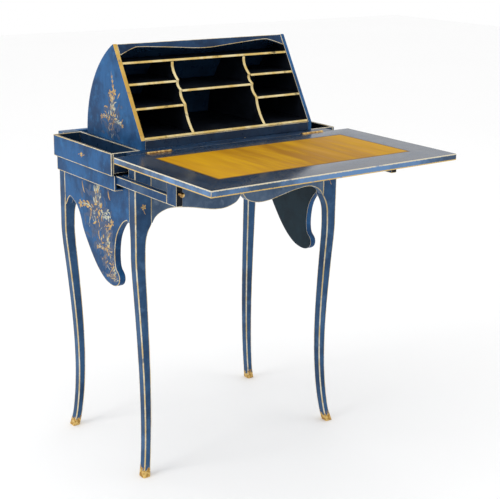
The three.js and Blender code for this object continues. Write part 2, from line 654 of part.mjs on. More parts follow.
function baseOutline() {
  const stripTop = slopeFoot.y;
  const back = arcCentre.x + nestRadius;
  return polygon([nestFront, nestBottom], [back, nestBottom], [back, baseTop],
    [nestFront + STRIP_THICKNESS, baseTop], [nestFront + STRIP_THICKNESS, stripTop],
    [nestFront, stripTop]);
}

/** Valance in (x, distance up the slope): a low end, a crest and a dip in the middle. */
function valance(halfWidth) {
  const [end, crest, middle] = VALANCE_DEPTHS.map((depth) => slopeLength - depth);
  const crestX = halfWidth - VALANCE_CREST;
  const shoulderX = crestX + VALANCE_SHOULDER.across;
  const shoulder = crest - VALANCE_SHOULDER.down;
  const between = (crest + middle) / 2;
  const top = slopeLength - VALANCE_TOP_GAP;
  const outline = new THREE.Shape();
  outline.moveTo(halfWidth, top);
  outline.lineTo(-halfWidth, top);
  outline.lineTo(-halfWidth, end);
  outline.splineThru([[-shoulderX, shoulder], [-crestX, crest], [-crestX / 2, between], [0, middle],
    [crestX / 2, between], [crestX, crest], [shoulderX, shoulder], [halfWidth, end],
  ].map(([x, distance]) => new THREE.Vector2(x, distance)));
  const geometry = new THREE.ExtrudeGeometry(outline, {
    depth: VALANCE, bevelEnabled: false, curveSegments: VALANCE_STEPS,
  });
  const foot = onSlope(0, VALANCE);
  return geometry.rotateX(NEST_SLOPE).translate(0, foot.x, foot.y);
}

const nestClear = nestInside - GAP;
for (const [side, sign] of SIDES) {
  const sideBoard = acrossX(nestSideOutline(), [sign * nestInside, sign * nestSide], SHELL_STEPS);
  const bore = rod([sign * (nestInside - OVERRUN), sign * (nestSide + OVERRUN)], pivot.x, pivot.y,
    PIVOT_PIN_RADIUS + PIN_PLAY);
  add(`nest_side_${side}`, cut(sideBoard, bore), bluePaint());
}
add('nest_back_shell', acrossX(shellOutline(), [-nestClear, nestClear], SHELL_STEPS), navyPaint());
add('nest_base', acrossX(baseOutline(), [-nestClear, nestClear]), navyPaint());
add('nest_valance', valance(nestClear), navyPaint());
add('nest_top_shelf', nestBoard(topShelfBottom, topShelfSurface, [-nestClear, nestClear]),
  inkPaint());

const dividerSlots = SIDES.map(([, sign]) => {
  const front = slopeAtHeight(floorBottom, SHELF_SETBACK).x;
  const half = DIVIDER / 2 + GAP;
  return box([sign * dividerPlace - half, sign * dividerPlace + half],
    [front - OVERRUN, front + TONGUE_LENGTH + GAP], [floorBottom - OVERRUN, floorTop + OVERRUN]);
});
add('nest_floor', cut(nestBoard(floorBottom, floorTop, [-nestClear, nestClear]), ...dividerSlots),
  inkPaint());

const shelfHeight = (share) => floorTop + share * (topShelfSurface - floorTop);
const sideHeights = SIDE_SHELVES.map(shelfHeight);
const centreHeight = shelfHeight(CENTRE_SHELF);
const dividerJoints = [...sideHeights, centreHeight].sort((a, b) => a - b);
for (const [side, sign] of SIDES) {
  const half = DIVIDER / 2;
  add(`nest_divider_${side}`, acrossX(dividerOutline(dividerJoints),
    [sign * dividerPlace - half, sign * dividerPlace + half], SCALLOP_STEPS), inkPaint());
  sideHeights.forEach((top, level) => {
    add(`nest_shelf_${side}_${level === 0 ? 'lower' : 'upper'}`,
      nestBoard(top - THIN_BOARD, top, [sign * (dividerPlace + half + GAP), sign * nestClear]),
      inkPaint());
  });
}
const centreClear = dividerPlace - DIVIDER / 2 - GAP;
add('nest_shelf_centre', nestBoard(centreHeight - THIN_BOARD, centreHeight,
  [-centreClear, centreClear]), inkPaint());

// ---------------------------------------------------------------- origin
const model = new THREE.Group();
table.position.y = -(flapFront + CASE_DEPTH) / 2;
model.add(table);

export default model;
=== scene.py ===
"""Looks of a painted writing table with a rising nest of pigeonholes.

Metres, +X to the writer's right, +Y to the back, +Z up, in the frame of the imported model.
Each sub-assembly is a class that builds its pieces and dresses them.
"""
import logging
import math
from dataclasses import dataclass, field, replace
from enum import Enum
from typing import Callable, Sequence

import bmesh
import bpy
import numpy as np
from mathutils import Matrix, Vector


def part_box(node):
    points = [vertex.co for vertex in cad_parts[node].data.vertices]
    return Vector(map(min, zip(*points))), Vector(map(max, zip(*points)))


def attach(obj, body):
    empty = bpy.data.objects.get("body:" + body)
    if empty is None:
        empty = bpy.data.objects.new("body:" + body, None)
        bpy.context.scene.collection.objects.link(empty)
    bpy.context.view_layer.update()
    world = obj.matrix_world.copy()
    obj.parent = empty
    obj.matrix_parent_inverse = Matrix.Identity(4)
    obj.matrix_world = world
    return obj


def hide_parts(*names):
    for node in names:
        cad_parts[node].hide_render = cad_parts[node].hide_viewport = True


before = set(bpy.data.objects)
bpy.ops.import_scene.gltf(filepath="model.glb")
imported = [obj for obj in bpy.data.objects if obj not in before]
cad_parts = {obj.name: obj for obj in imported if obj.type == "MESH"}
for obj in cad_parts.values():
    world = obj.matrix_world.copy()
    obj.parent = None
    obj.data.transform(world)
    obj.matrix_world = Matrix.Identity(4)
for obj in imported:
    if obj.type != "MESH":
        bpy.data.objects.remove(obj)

LOG = logging.getLogger("writing_table")
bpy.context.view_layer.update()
MM = 0.001
SIDES = (("left", -1.0), ("right", 1.0))
AXIS = np.eye(3)
# An outline's two directions and the direction of the thickness, for boards that are seen
# along X and along Y.
YZ = np.stack([AXIS[1], AXIS[2], AXIS[0]])
XZ = np.stack([AXIS[2], AXIS[0], AXIS[1]])

# Shading breaks where two faces meet at more than this, on new surfaces and on softened boxes.
SMOOTH_ANGLE = math.radians(24)
BOX_SMOOTH_ANGLE = math.radians(15)
# An outline has a corner, and a solid an edge that is rounded, above this angle.
CORNER_ANGLE = math.radians(25)
# An outline is curved above this angle, and two faces are one flat face below the next.
CURVE_ANGLE = math.radians(0.4)
FLAT_ANGLE = math.radians(0.5)
# Points nearer to each other than this are one point, in metres.
WELD = 1e-6
# Grid on which the corners of a CAD mesh are matched, in metres.
CAD_GRID = 1e-5
# Distances from an arris as shares of the gilt line's width: no line, and just outside it.
NO_LINE = 9.0
PAST_LINE = 2.0
# How far the box of a gilt line is carried past a face that gets no line, in metres.
CARRIED = 0.1

Triple = tuple[float, float, float]
Colour = Triple
Value = bpy.types.NodeSocket | float | tuple
Mask = Callable[[np.ndarray, np.ndarray], np.ndarray]


class Slot(Enum):
    """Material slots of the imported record."""

    BLUE = "blue_paint"
    NAVY = "navy_paint"
    # Record slot of the near-black paint that stands for the shade in the nest and on the well floors.
    SHADE_BLACK = "ink_paint"
    PANEL = "gold_panel"
    BEECH = "beech"
    BRASS = "brass"
    STEEL = "steel"


# ---------------------------------------------------------------- material graphs
class Graph:
    """Node tree of one material, built by short calls that return sockets."""

    NOISE_ROUGHNESS = 0.6

    def __init__(self, name: str) -> None:
        """Makes an empty material with a Principled shader.

        Args:
            name: name of the material.
        """
        self.material = bpy.data.materials.new(name)
        self.material.use_nodes = True
        self.tree = self.material.node_tree
        self.shader = self.tree.nodes["Principled BSDF"]
        self.place = self.tree.nodes.new("ShaderNodeTexCoord").outputs["Object"]

    def put(self, value: Value, socket: bpy.types.NodeSocket) -> None:
        """Links a socket, or sets a plain value, on an input.

        Args:
            value: socket, number, vector or colour.
            socket: input that it goes to.
        """
        if isinstance(value, bpy.types.NodeSocket):
            self.tree.links.new(value, socket)
        elif isinstance(value, tuple) and len(value) == 3 and socket.type == "RGBA":
            socket.default_value = (*value, 1.0)
        else:
            socket.default_value = value

    def math(self, operation: str, first: Value, second: Value = 0.0) -> bpy.types.NodeSocket:
        """One Math node.

        Args:
            operation: Blender's name of the operation.
            first: number or socket.
            second: number or socket.

        Returns:
            The result.
        """
        node = self.tree.nodes.new("ShaderNodeMath")
        node.operation = operation
        self.put(first, node.inputs[0])
        self.put(second, node.inputs[1])
        return node.outputs[0]

    def vector(self, operation: str, first: Value, second: Value) -> bpy.types.NodeSocket:
        """One Vector Math node.

        Args:
            operation: Blender's name of the operation.
            first: vector or socket.
            second: vector or socket.

        Returns:
            The resulting vector.
        """
        node = self.tree.nodes.new("ShaderNodeVectorMath")
        node.operation = operation
        self.put(first, node.inputs[0])
        self.put(second, node.inputs[1])
        return node.outputs[0]

    def split(self, vector: bpy.types.NodeSocket) -> tuple[bpy.types.NodeSocket, ...]:
        """Splits a vector.

        Args:
            vector: socket of the vector.

        Returns:
            Its three numbers.
        """
        node = self.tree.nodes.new("ShaderNodeSeparateXYZ")
        self.put(vector, node.inputs[0])
        return tuple(node.outputs)

    def noise(self, scale: float, detail: float = 4.0, stretch: Triple = (1.0, 1.0, 1.0),
              shift: Triple = (0.0, 0.0, 0.0)) -> bpy.types.NodeSocket:
        """Noise in object space.

        Args:
            scale: features per metre.
            detail: octaves.
            stretch: factor on each axis; under 1 draws the pattern out along it.
            shift: offset, so that two noises differ.

        Returns:
            A number around 0.5.
        """
        mapping = self.tree.nodes.new("ShaderNodeMapping")
        mapping.inputs["Location"].default_value = shift
        mapping.inputs["Scale"].default_value = stretch
        self.put(self.place, mapping.inputs["Vector"])
        node = self.tree.nodes.new("ShaderNodeTexNoise")
        node.inputs["Scale"].default_value = scale
        node.inputs["Detail"].default_value = detail
        node.inputs["Roughness"].default_value = self.NOISE_ROUGHNESS
        self.put(mapping.outputs[0], node.inputs["Vector"])
        return node.outputs["Fac"]

    def spread(self, value: Value, low: float, high: float, to_low: float = 0.0,
               to_high: float = 1.0) -> bpy.types.NodeSocket:
        """Smooth step from one range to another.

        Args:
            value: socket that is mapped.
            low: value that gives to_low.
            high: value that gives to_high.
            to_low: result at low.
            to_high: result at high.

        Returns:
            The mapped number.
        """
        node = self.tree.nodes.new("ShaderNodeMapRange")
        node.interpolation_type = "SMOOTHSTEP"
        self.put(value, node.inputs["Value"])
        for key, number in (("From Min", low), ("From Max", high), ("To Min", to_low),
                            ("To Max", to_high)):
            node.inputs[key].default_value = number
        return node.outputs[0]

    def mix(self, share: Value, first: Value, second: Value) -> bpy.types.NodeSocket:
        """Mixes two colours.

        Args:
            share: share of the second colour.
            first: colour or socket.
            second: colour or socket.

        Returns:
            The mixed colour.
        """
        node = self.tree.nodes.new("ShaderNodeMix")
        node.data_type = "RGBA"
        self.put(share, node.inputs[0])
        self.put(first, node.inputs[6])
        self.put(second, node.inputs[7])
        return node.outputs[2]

    def attribute(self, name: str) -> bpy.types.NodeSocket:
        """Reads a number that is stored on the mesh's points.

        Args:
            name: name of the attribute.

        Returns:
            The number.
        """
        node = self.tree.nodes.new("ShaderNodeAttribute")
        node.attribute_name = name
        return node.outputs["Fac"]

    def bump(self, height: bpy.types.NodeSocket, distance: float, strength: float = 1.0) -> None:
        """Raises the surface by a height pattern.

        Args:
            height: pattern, from 0 to 1.
            distance: height in metres of a whole step of the pattern.
            strength: how fully it shows.
        """
        node = self.tree.nodes.new("ShaderNodeBump")
        node.inputs["Strength"].default_value = strength
        node.inputs["Distance"].default_value = distance
        self.put(height, node.inputs["Height"])
        self.put(node.outputs[0], self.shader.inputs["Normal"])

    def finish(self, colour: Value, roughness: Value, **constants: float) -> bpy.types.Material:
        """Sets the shader.

        Args:
            colour: colour or socket.
            roughness: number or socket.
            constants: other inputs of the shader, with underscores for spaces.

        Returns:
            The finished material.
        """
        self.put(colour, self.shader.inputs["Base Color"])
        self.put(roughness, self.shader.inputs["Roughness"])
        for key, number in constants.items():
            self.shader.inputs[key.replace("_", " ")].default_value = number
        return self.material


@dataclass(frozen=True)
class EdgeLine:
    """Gilt line along the edges of a box, worked out from the place of a point.

    A point on a box lies on one face, so the middle one of its three distances to the
    nearest faces is its distance to the nearest edge. Each distance is divided by the
    line's width along that axis, and the line is where the middle one is under 1.

    Attributes:
        low: lowest corner of the box.
        high: highest corner of the box.
        widths: width of the line along each axis.
    """

    low: Triple
    high: Triple
    widths: Triple

    def inside(self, graph: Graph) -> bpy.types.NodeSocket:
        """Distance from a point to the nearest face along each axis.

        It is half the box's size less the distance from the box's middle.

        Args:
            graph: material that it is worked out in.

        Returns:
            The three distances as a vector.
        """
        middle = tuple((a + b) / 2 for a, b in zip(self.low, self.high))
        half = tuple((b - a) / 2 for a, b in zip(self.low, self.high))
        away = graph.vector("ABSOLUTE", graph.vector("SUBTRACT", graph.place, middle), middle)
        return graph.vector("SUBTRACT", half, away)

    def wall(self, graph: Graph) -> bpy.types.NodeSocket:
        """Distance from a point to the nearest upright face."""
        x, y, _ = graph.split(self.inside(graph))
        return graph.math("MINIMUM", x, y)

    def field(self, graph: Graph) -> bpy.types.NodeSocket:
        """Scaled distance to the nearest edge: 0 on the edge, 1 at the line's border.

        The middle one of three numbers is the larger of two things: the smaller of x and y,
        and the smaller of z and the larger of x and y.

        Args:
            graph: material that it is worked out in.

        Returns:
            The scaled distance.
        """
        x, y, z = graph.split(graph.vector("DIVIDE", self.inside(graph), self.widths))
        smaller = graph.math("MINIMUM", x, y)
        larger = graph.math("MAXIMUM", x, y)
        return graph.math("MAXIMUM", smaller, graph.math("MINIMUM", larger, z))


# Ranges of a noise over which one tone passes into the next.
CLOUDS = (0.36, 0.62)
BLOTS = (0.5, 0.72)
BRUSH_MARKS = (0.45, 0.75)
SHEEN = (0.3, 0.7)
EVEN = (0.35, 0.65)
NARROW = (0.4, 0.6)


@dataclass(frozen=True)
class Paint:
    """Old oil paint, mottled and brushed, with worn gilt lines.

    Attributes:
        name: name of the material.
        base: ground colour.
        dark: colour of the clouds and of the brush marks.
        light: colour of the rubbed blots.
        gilt: warm tone of the gilt lines.
        pale_gilt: worn tone of the gilt lines.
        roughness: roughness where the paint is neither shiny nor dull.
        cloud: clouds per metre.
        light_share: how strongly the blots show.
        toe_height: height of a gilded toe, or 0 for none.
        patches: how much the roughness varies.
        relief: strength of the brush marks' relief.
        gloss: specular level.
        edge: lighter colour of the upright faces between their two gilt lines, partly the edge's own
            paint and partly painted light, or None.
        inside: axis, place and sign of the side that is painted in the shadow colour, or None.
    """

    name: str
    base: Colour
    dark: Colour
    light: Colour
    gilt: Colour = (0.62, 0.47, 0.22)
    pale_gilt: Colour = (0.74, 0.68, 0.52)
    roughness: float = 0.36
    cloud: float = 14.0
    light_share: float = 0.5
    toe_height: float = 0.0
    patches: float = 0.17
    relief: float = 0.5
    gloss: float = 0.1
    edge: Colour | None = None
    inside: tuple[int, float, float] | None = None

    SHADOW = (0.006, 0.008, 0.013)
    TOE_SHADE = (0.36, 0.19, 0.04)
    TOE_LEAF = (0.72, 0.5, 0.17)
    # Depth under an upright face over which the lighter edge colour, partly painted light, ends.
    EDGE_DEPTH = (0.3 * MM, 0.6 * MM)
    # Share of the noise that the line's distance gets, and the sums over which it ends.
    RAGGED = 0.7
    LINE_BORDER = (0.68, 1.0)
    # Noise over which the gilt passes from worn to whole, and its strength where worn.
    WORN = (0.26, 0.42)
    WORN_STRENGTH = 0.25
    GILT_TONES = (0.4, 0.62)
    # Ragged upper edge of a toe: noise and border as shares of the toe's height.
    TOE_RAGGED = 2.4
    TOE_BORDER = (1.9, 2.0)
    RELIEF_HEIGHT = 0.12 * MM

    def ground(self, graph: Graph, clouds: Value, blots: Value, brush: Value) -> Value:
        """Ground colour: dark clouds first, then light blots, then dark brush marks.

        Args:
            graph: material that it is built in.
            clouds: coarse noise.
            blots: middle noise.
            brush: fine noise drawn out upwards.

        Returns:
            The colour.
        """
        colour = graph.mix(graph.spread(clouds, *CLOUDS), self.dark, self.base)
        colour = graph.mix(graph.spread(blots, *BLOTS, 0.0, self.light_share), colour, self.light)
        return graph.mix(graph.spread(brush, *BRUSH_MARKS, 0.0, 0.3), colour, self.dark)

    def shaded(self, graph: Graph, colour: Value) -> Value:
        """Paints shadow on one side of a plane: the inner side of a well's wall, the front of a
        loper's head.

        Args:
            graph: material that it is built in.
            colour: colour so far.

        Returns:
            The new colour.
        """
        axis, limit, sign = self.inside
        depth = graph.math("MULTIPLY", graph.split(graph.place)[axis], sign)
        return graph.mix(graph.math("LESS_THAN", depth, sign * limit), colour, self.SHADOW)

    def edged(self, graph: Graph, colour: Value, clouds: Value, line: EdgeLine) -> Value:
        """Gives the upright faces a lighter colour: partly their own paint, partly painted light on
        the lit edges.

        Args:
            graph: material that it is built in.
            colour: colour so far.
            clouds: coarse noise.
            line: line along the box's edges.

        Returns:
            The new colour.
        """
        wall = graph.spread(line.wall(graph), *self.EDGE_DEPTH, 1.0, 0.0)
        tone = graph.mix(graph.spread(clouds, *CLOUDS), self.edge, self.light)
        return graph.mix(wall, colour, tone)

    def gilded(self, graph: Graph, colour: Value, distance: Value, line: EdgeLine | None) -> Value:
        """Lays the gilt line over the paint.

        A fine noise makes the line's border wander, and coarser ones wear it and vary its
        tone. On an edge with the lighter edge colour, the upper line is the pale one.

        Args:
            graph: material that it is built in.
            colour: colour so far.
            distance: distance from the arris as a share of the line's width.
            line: line along a box's edges, or None.

        Returns:
            The new colour.
        """
        ragged = graph.math("MULTIPLY", graph.noise(260.0, 2.0), self.RAGGED)
        mask = graph.spread(graph.math("ADD", distance, ragged), *self.LINE_BORDER, 1.0, 0.0)
        wear = graph.noise(45.0, 5.0, shift=(0.7, 0.2, 5.0))
        strength = graph.spread(wear, *self.WORN, self.WORN_STRENGTH, 1.0)
        if self.edge and line:
            middle = (line.low[2] + line.high[2]) / 2
            tint = graph.math("GREATER_THAN", graph.split(graph.place)[2], middle)
        else:
            tint = graph.spread(graph.noise(22.0, 3.0, shift=(9.0, 0.0, 2.0)), *self.GILT_TONES)
        gold = graph.mix(tint, self.gilt, self.pale_gilt)
        return graph.mix(graph.math("MULTIPLY", mask, strength), colour, gold)

    def toed(self, graph: Graph, colour: Value) -> Value:
        """Lays gold leaf on the toe, up to a ragged edge.

        Args:
            graph: material that it is built in.
            colour: colour so far.

        Returns:
            The new colour.
        """
        speckle = graph.noise(130.0, 4.0)
        ragged = graph.math("MULTIPLY", speckle, self.toe_height * self.TOE_RAGGED)
        place = graph.math("ADD", graph.split(graph.place)[2], ragged)
        low, high = self.TOE_BORDER
        toe = graph.spread(place, self.toe_height * low, self.toe_height * high, 1.0, 0.0)
        leaf = graph.mix(graph.spread(speckle, *NARROW), self.TOE_SHADE, self.TOE_LEAF)
        return graph.mix(toe, colour, leaf)

    def surface(self, line: EdgeLine | None = None, drawn: bool = False) -> bpy.types.Material:
        """Builds the material.

        Args:
            line: line along a box's edges, or None.
            drawn: True where the mesh holds its own distance from the line as "line".

        Returns:
            The material.
        """
        graph = Graph(self.name)
        clouds = graph.noise(self.cloud, 5.0)
        blots = graph.noise(self.cloud * 3.7, 6.0, shift=(3.1, 1.7, 0.4))
        brush = graph.noise(150.0, 3.0, stretch=(1.0, 1.0, 0.16))
        colour = self.ground(graph, clouds, blots, brush)
        if self.inside:
            colour = self.shaded(graph, colour)
        if self.edge and line:
            colour = self.edged(graph, colour, clouds, line)
        if drawn:
            colour = self.gilded(graph, colour, graph.attribute("line"), line)
        elif line:
            colour = self.gilded(graph, colour, line.field(graph), line)
        if self.toe_height:
            colour = self.toed(graph, colour)
        roughness = graph.spread(blots, *SHEEN, self.roughness - 0.4 * self.patches,
                                 self.roughness + 0.6 * self.patches)
        graph.bump(graph.math("ADD", brush, blots), self.RELIEF_HEIGHT, self.relief)
        return graph.finish(colour, roughness, Specular_IOR_Level=self.gloss)


@dataclass(frozen=True)
class Leather:
    """Golden writing panel: streaks from front to back and a darker border, painted shade where it
    meets the flap.

    Attributes:
        name: name of the material.
        line: box whose edges the rim follows.
        deep: darker tone of the bands.
        golden: lighter tone of the bands.
        streak: tone of the thin streaks.
        rim: tone of the darker border: painted shade along the panel's edge.
    """

    name: str
    line: EdgeLine
    deep: Colour = (0.34, 0.15, 0.0015)
    golden: Colour = (0.52, 0.26, 0.002)
    streak: Colour = (0.62, 0.35, 0.006)
    rim: Colour = (0.12, 0.055, 0.006)

    def surface(self) -> bpy.types.Material:
        """Builds the material.

        Returns:
            The material.
        """
        graph = Graph(self.name)
        bands = graph.noise(9.0, 4.0, stretch=(1.0, 0.12, 1.0))
        streaks = graph.noise(60.0, 4.0, stretch=(1.0, 0.1, 1.0), shift=(4.0, 0.3, 0.0))
        colour = graph.mix(graph.spread(bands, 0.35, 0.62), self.deep, self.golden)
        colour = graph.mix(graph.spread(streaks, 0.42, 0.7, 0.0, 0.55), colour, self.streak)
        # Darker border along the panel's edge: painted shade where the panel meets the flap.
        rim = graph.spread(self.line.field(graph), 0.5, 1.6, 0.75, 0.0)
        colour = graph.mix(rim, colour, self.rim)
        graph.bump(graph.noise(900.0, 3.0), 0.12 * MM, 0.4)
        return graph.finish(colour, graph.spread(streaks, *SHEEN, 0.5, 0.66),
                            Specular_IOR_Level=0.1)


@dataclass(frozen=True)
class Metal:
    """Cast or turned metal with a little tarnish.

    Attributes:
        name: name of the material.
        bright: tone of the rubbed metal.
        tarnish: tone of the stains.
        roughness: roughness between the scratches.
    """

    name: str
    bright: Colour
    tarnish: Colour
    roughness: float = 0.3

    def surface(self) -> bpy.types.Material:
        """Builds the material.

        Returns:
            The material.
        """
        graph = Graph(self.name)
        stain = graph.noise(90.0, 5.0)
        scratches = graph.noise(700.0, 2.0, stretch=(0.2, 1.0, 1.0))
        colour = graph.mix(graph.spread(stain, 0.38, 0.66), self.tarnish, self.bright)
        roughness = graph.spread(scratches, *SHEEN, self.roughness - 0.08, self.roughness + 0.14)
        graph.bump(scratches, 0.03 * MM, 0.5)
        return graph.finish(colour, roughness, Metallic=1.0)


@dataclass(frozen=True)
class Wood:
    """Bare waxed beech with grain along one axis.

    Attributes:
        name: name of the material.
        stretch: factor on each axis; the small one is along the grain.
        shade: darker tone of the grain.
        tone: lighter tone of the grain.
        pore: tone of the pores.
    """

    name: str
    stretch: Triple = (0.06, 1.0, 1.0)
    shade: Colour = (0.13, 0.07, 0.03)
    tone: Colour = (0.32, 0.19, 0.09)
    pore: Colour = (0.08, 0.04, 0.018)

    def surface(self) -> bpy.types.Material:
        """Builds the material.

        Returns:
            The material.
        """
        graph = Graph(self.name)
        grain = graph.noise(120.0, 6.0, stretch=self.stretch)
        pores = graph.noise(900.0, 2.0, stretch=self.stretch)
        colour = graph.mix(graph.spread(grain, *EVEN), self.shade, self.tone)
        colour = graph.mix(graph.spread(pores, 0.55, 0.75, 0.0, 0.5), colour, self.pore)
        graph.bump(pores, 0.1 * MM, 0.5)
        return graph.finish(colour, graph.spread(grain, *SHEEN, 0.5, 0.68))


@dataclass(frozen=True)
class Brushwork:
    """Gilt and colour of the painted sprays: the tone on the mesh picks it.

    Attributes:
        name: name of the material.
        navy: two tones of the strokes whose number is Tone.NAVY.
        ochre: two tones for Tone.OCHRE.
        straw: two tones for Tone.STRAW.
    """

    name: str
    navy: tuple[Colour, Colour] = ((0.01, 0.03, 0.08), (0.03, 0.08, 0.19))
    ochre: tuple[Colour, Colour] = ((0.32, 0.16, 0.03), (0.58, 0.37, 0.1))
    straw: tuple[Colour, Colour] = ((0.3, 0.33, 0.27), (0.55, 0.52, 0.36))

    def surface(self) -> bpy.types.Material:
        """Builds the material.

        Returns:
            The material.
        """
        graph = Graph(self.name)
        tone = graph.attribute("tone")
        patches = graph.noise(160.0, 4.0)
        even = graph.spread(patches, *EVEN)
        colour = graph.mix(graph.spread(tone, 0.3, 0.4), graph.mix(even, *self.navy),
                           graph.mix(even, *self.ochre))
        straw = graph.mix(graph.spread(patches, *NARROW), *self.straw)
        colour = graph.mix(graph.spread(tone, 0.6, 0.7), colour, straw)
        graph.bump(patches, 0.1 * MM, 0.5)
        return graph.finish(colour, graph.spread(patches, *SHEEN, 0.38, 0.55))


BLUE = Paint("blue paint", (0.02, 0.1, 0.255), (0.011, 0.048, 0.13), (0.045, 0.165, 0.36))
NAVY = Paint("navy paint", (0.011, 0.035, 0.08), (0.007, 0.02, 0.048), (0.02, 0.055, 0.115),
             roughness=0.3, light_share=0.3, relief=0.06, gloss=0.3, patches=0.1)
DARK = Paint("shaded paint", (0.01, 0.03, 0.045), (0.006, 0.018, 0.028), (0.018, 0.045, 0.065))
# Near-black paint of the well floors and the nest's inside: painted shade of the deep hollows; its
# gilt lines are real.
SHADE_BLACK = Paint("ink paint", (0.006, 0.008, 0.013), (0.002, 0.003, 0.005), (0.012, 0.018, 0.03),
            gilt=(0.66, 0.47, 0.15), pale_gilt=(0.78, 0.66, 0.36), roughness=0.5, light_share=0.3)
BRASS = Metal("aged brass", (0.78, 0.54, 0.2), (0.3, 0.17, 0.06))
STEEL = Metal("turned steel", (0.45, 0.45, 0.46), (0.2, 0.19, 0.18), 0.36)


# ---------------------------------------------------------------- meshes
def signed_volume(points: np.ndarray, faces: Sequence[Sequence[int]]) -> float:
    """Volume of a closed mesh, negative where its faces point inwards.

    Each face is a fan of triangles, and each triangle adds a sixth of the product
    a . (b x c) of its corners.

    Args:
        points: corners, one row each.
        faces: corner numbers of each face.

    Returns:
        The volume in cubic metres.
    """
    fans = [(f[0], f[k], f[k + 1]) for f in faces for k in range(1, len(f) - 1)]
    a, b, c = (points[list(column)] for column in zip(*fans))
    return float((a * np.cross(b, c)).sum() / 6)


def to_object(name: str, points: np.ndarray, faces: list[list[int]],
              numbers: dict[str, np.ndarray] | None = None,
              slots: np.ndarray | None = None) -> bpy.types.Object:
    """Puts a closed surface into a mesh object with its faces pointing out.

    Args:
        name: name of the piece.
        points: corners, one row each.
        faces: corner numbers of each face.
        numbers: numbers kept on the points, by name.
        slots: material slot of each face.

    Returns:
        The linked object.
    """
    if signed_volume(points, faces) < 0:
        faces = [face[::-1] for face in faces]
    mesh = bpy.data.meshes.new(name)
    mesh.from_pydata(points.tolist(), [], faces)
    for key, values in (numbers or {}).items():
        layer = mesh.attributes.new(key, "FLOAT", "POINT")
        layer.data.foreach_set("value", np.asarray(values, np.float32))
    if slots is not None:
        mesh.polygons.foreach_set("material_index", slots.astype(np.int32))
    work = bmesh.new()
    work.from_mesh(mesh)
    bmesh.ops.remove_doubles(work, verts=work.verts, dist=WELD)
    work.to_mesh(mesh)
    work.free()
    mesh.shade_smooth()
    mesh.set_sharp_from_angle(angle=SMOOTH_ANGLE)
    piece = bpy.data.objects.new(name, mesh)
    bpy.context.scene.collection.objects.link(piece)
    return piece


def tube_faces(rings: int, around: int, first: int = 0) -> list[list[int]]:
    """Faces of a capped tube: quads between neighbouring rings and a cap at each end.

    Args:
        rings: number of rings.
        around: points in each ring.
        first: number of the tube's first point.

    Returns:
        The faces, the two caps last.
    """
    ring, k = np.meshgrid(np.arange(rings - 1), np.arange(around), indexing="ij")
    here, ahead = ring * around + k, ring * around + (k + 1) % around
    quads = np.stack([here, ahead, ahead + around, here + around], -1).reshape(-1, 4) + first
    caps = [list(range(first + around - 1, first - 1, -1)),
            list(range(first + (rings - 1) * around, first + rings * around))]
    return quads.tolist() + caps


def cad_points(node: str) -> np.ndarray:
    """Corners of a CAD node's mesh.

    Args:
        node: CAD node.

    Returns:
        The corners in metres, one row each.
    """
    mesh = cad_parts[node].data
    flat = np.zeros(len(mesh.vertices) * 3)
    mesh.vertices.foreach_get("co", flat)
    return flat.reshape(-1, 3)


def softened_copy(node: str, name: str, width: float) -> bpy.types.Object:
    """Copy of a CAD node with its flat faces merged and its edges rounded.

    Args:
        node: CAD node.
        name: name of the new piece.
        width: how far the rounding reaches from each edge.

    Returns:
        The new piece.
    """
    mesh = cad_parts[node].data.copy()
    mesh.materials.clear()
    work = bmesh.new()
    work.from_mesh(mesh)
    bmesh.ops.remove_doubles(work, verts=work.verts, dist=WELD)
    bmesh.ops.dissolve_limit(work, angle_limit=FLAT_ANGLE, verts=work.verts, edges=work.edges)
    sharp = [edge for edge in work.edges if edge.calc_face_angle(0.0) > CORNER_ANGLE]
    bmesh.ops.bevel(work, geom=sharp, offset=width, segments=2, profile=0.5, affect="EDGES",
                    clamp_overlap=True)
    work.to_mesh(mesh)
    work.free()
    mesh.shade_smooth()
    mesh.set_sharp_from_angle(angle=BOX_SMOOTH_ANGLE)
    piece = bpy.data.objects.new(name, mesh)
    bpy.context.scene.collection.objects.link(piece)
    return piece


def dress(piece: bpy.types.Object, body: str, slot: Slot, *materials: bpy.types.Material,
          stands_for: Sequence[str] = ()) -> bpy.types.Object:
    """Gives a piece its materials, its body and the nodes that it stands for.

    Args:
        piece: new mesh object.
        body: CAD body that it moves with.
        slot: record slot of its finish; not used.
        materials: materials, in the order of the mesh's slots.
        stands_for: CAD nodes that it replaces.

    Returns:
        The same piece.
    """
    for material in materials:
        piece.data.materials.append(material)
    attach(piece, body)
    if stands_for:
        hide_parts(*stands_for)
    LOG.info("%s rides on %s, %d faces", piece.name, body, len(piece.data.polygons))
    return piece


def repaint(node: str, material: bpy.types.Material) -> None:
    """Gives a carried-over CAD node a better material.

    Args:
        node: CAD node.
        material: its new material.
    """
    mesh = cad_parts[node].data
    mesh.materials.clear()
    mesh.materials.append(material)
    LOG.info("%s keeps its CAD shape, in %s", node, material.name)


def boxed(node: str, body: str, slot: Slot, paint: Paint, widths: Triple | None = None,
          width: float = 0.6 * MM, stretch_low: Triple = (0, 0, 0),
          stretch_high: Triple = (0, 0, 0)) -> bpy.types.Object:
    """Replaces a box-like CAD node by a softened copy with gilt lines along its edges.

    Args:
        node: CAD node.
        body: CAD body.
        slot: record slot.
        paint: finish.
        widths: width of the line along each axis, or None for no line.
        width: rounding of the edges.
        stretch_low: how far the box of the line is carried past its low faces.
        stretch_high: how far it is carried past its high faces.

    Returns:
        The new piece.
    """
    low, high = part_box(node)
    line = None
    if widths:
        line = EdgeLine(tuple(a - b for a, b in zip(low, stretch_low)),
                        tuple(a + b for a, b in zip(high, stretch_high)), widths)
    piece = softened_copy(node, f"painted_{node}", width)
    return dress(piece, body, slot, replace(paint, name=f"{paint.name} {node}").surface(line),
                 stands_for=[node])


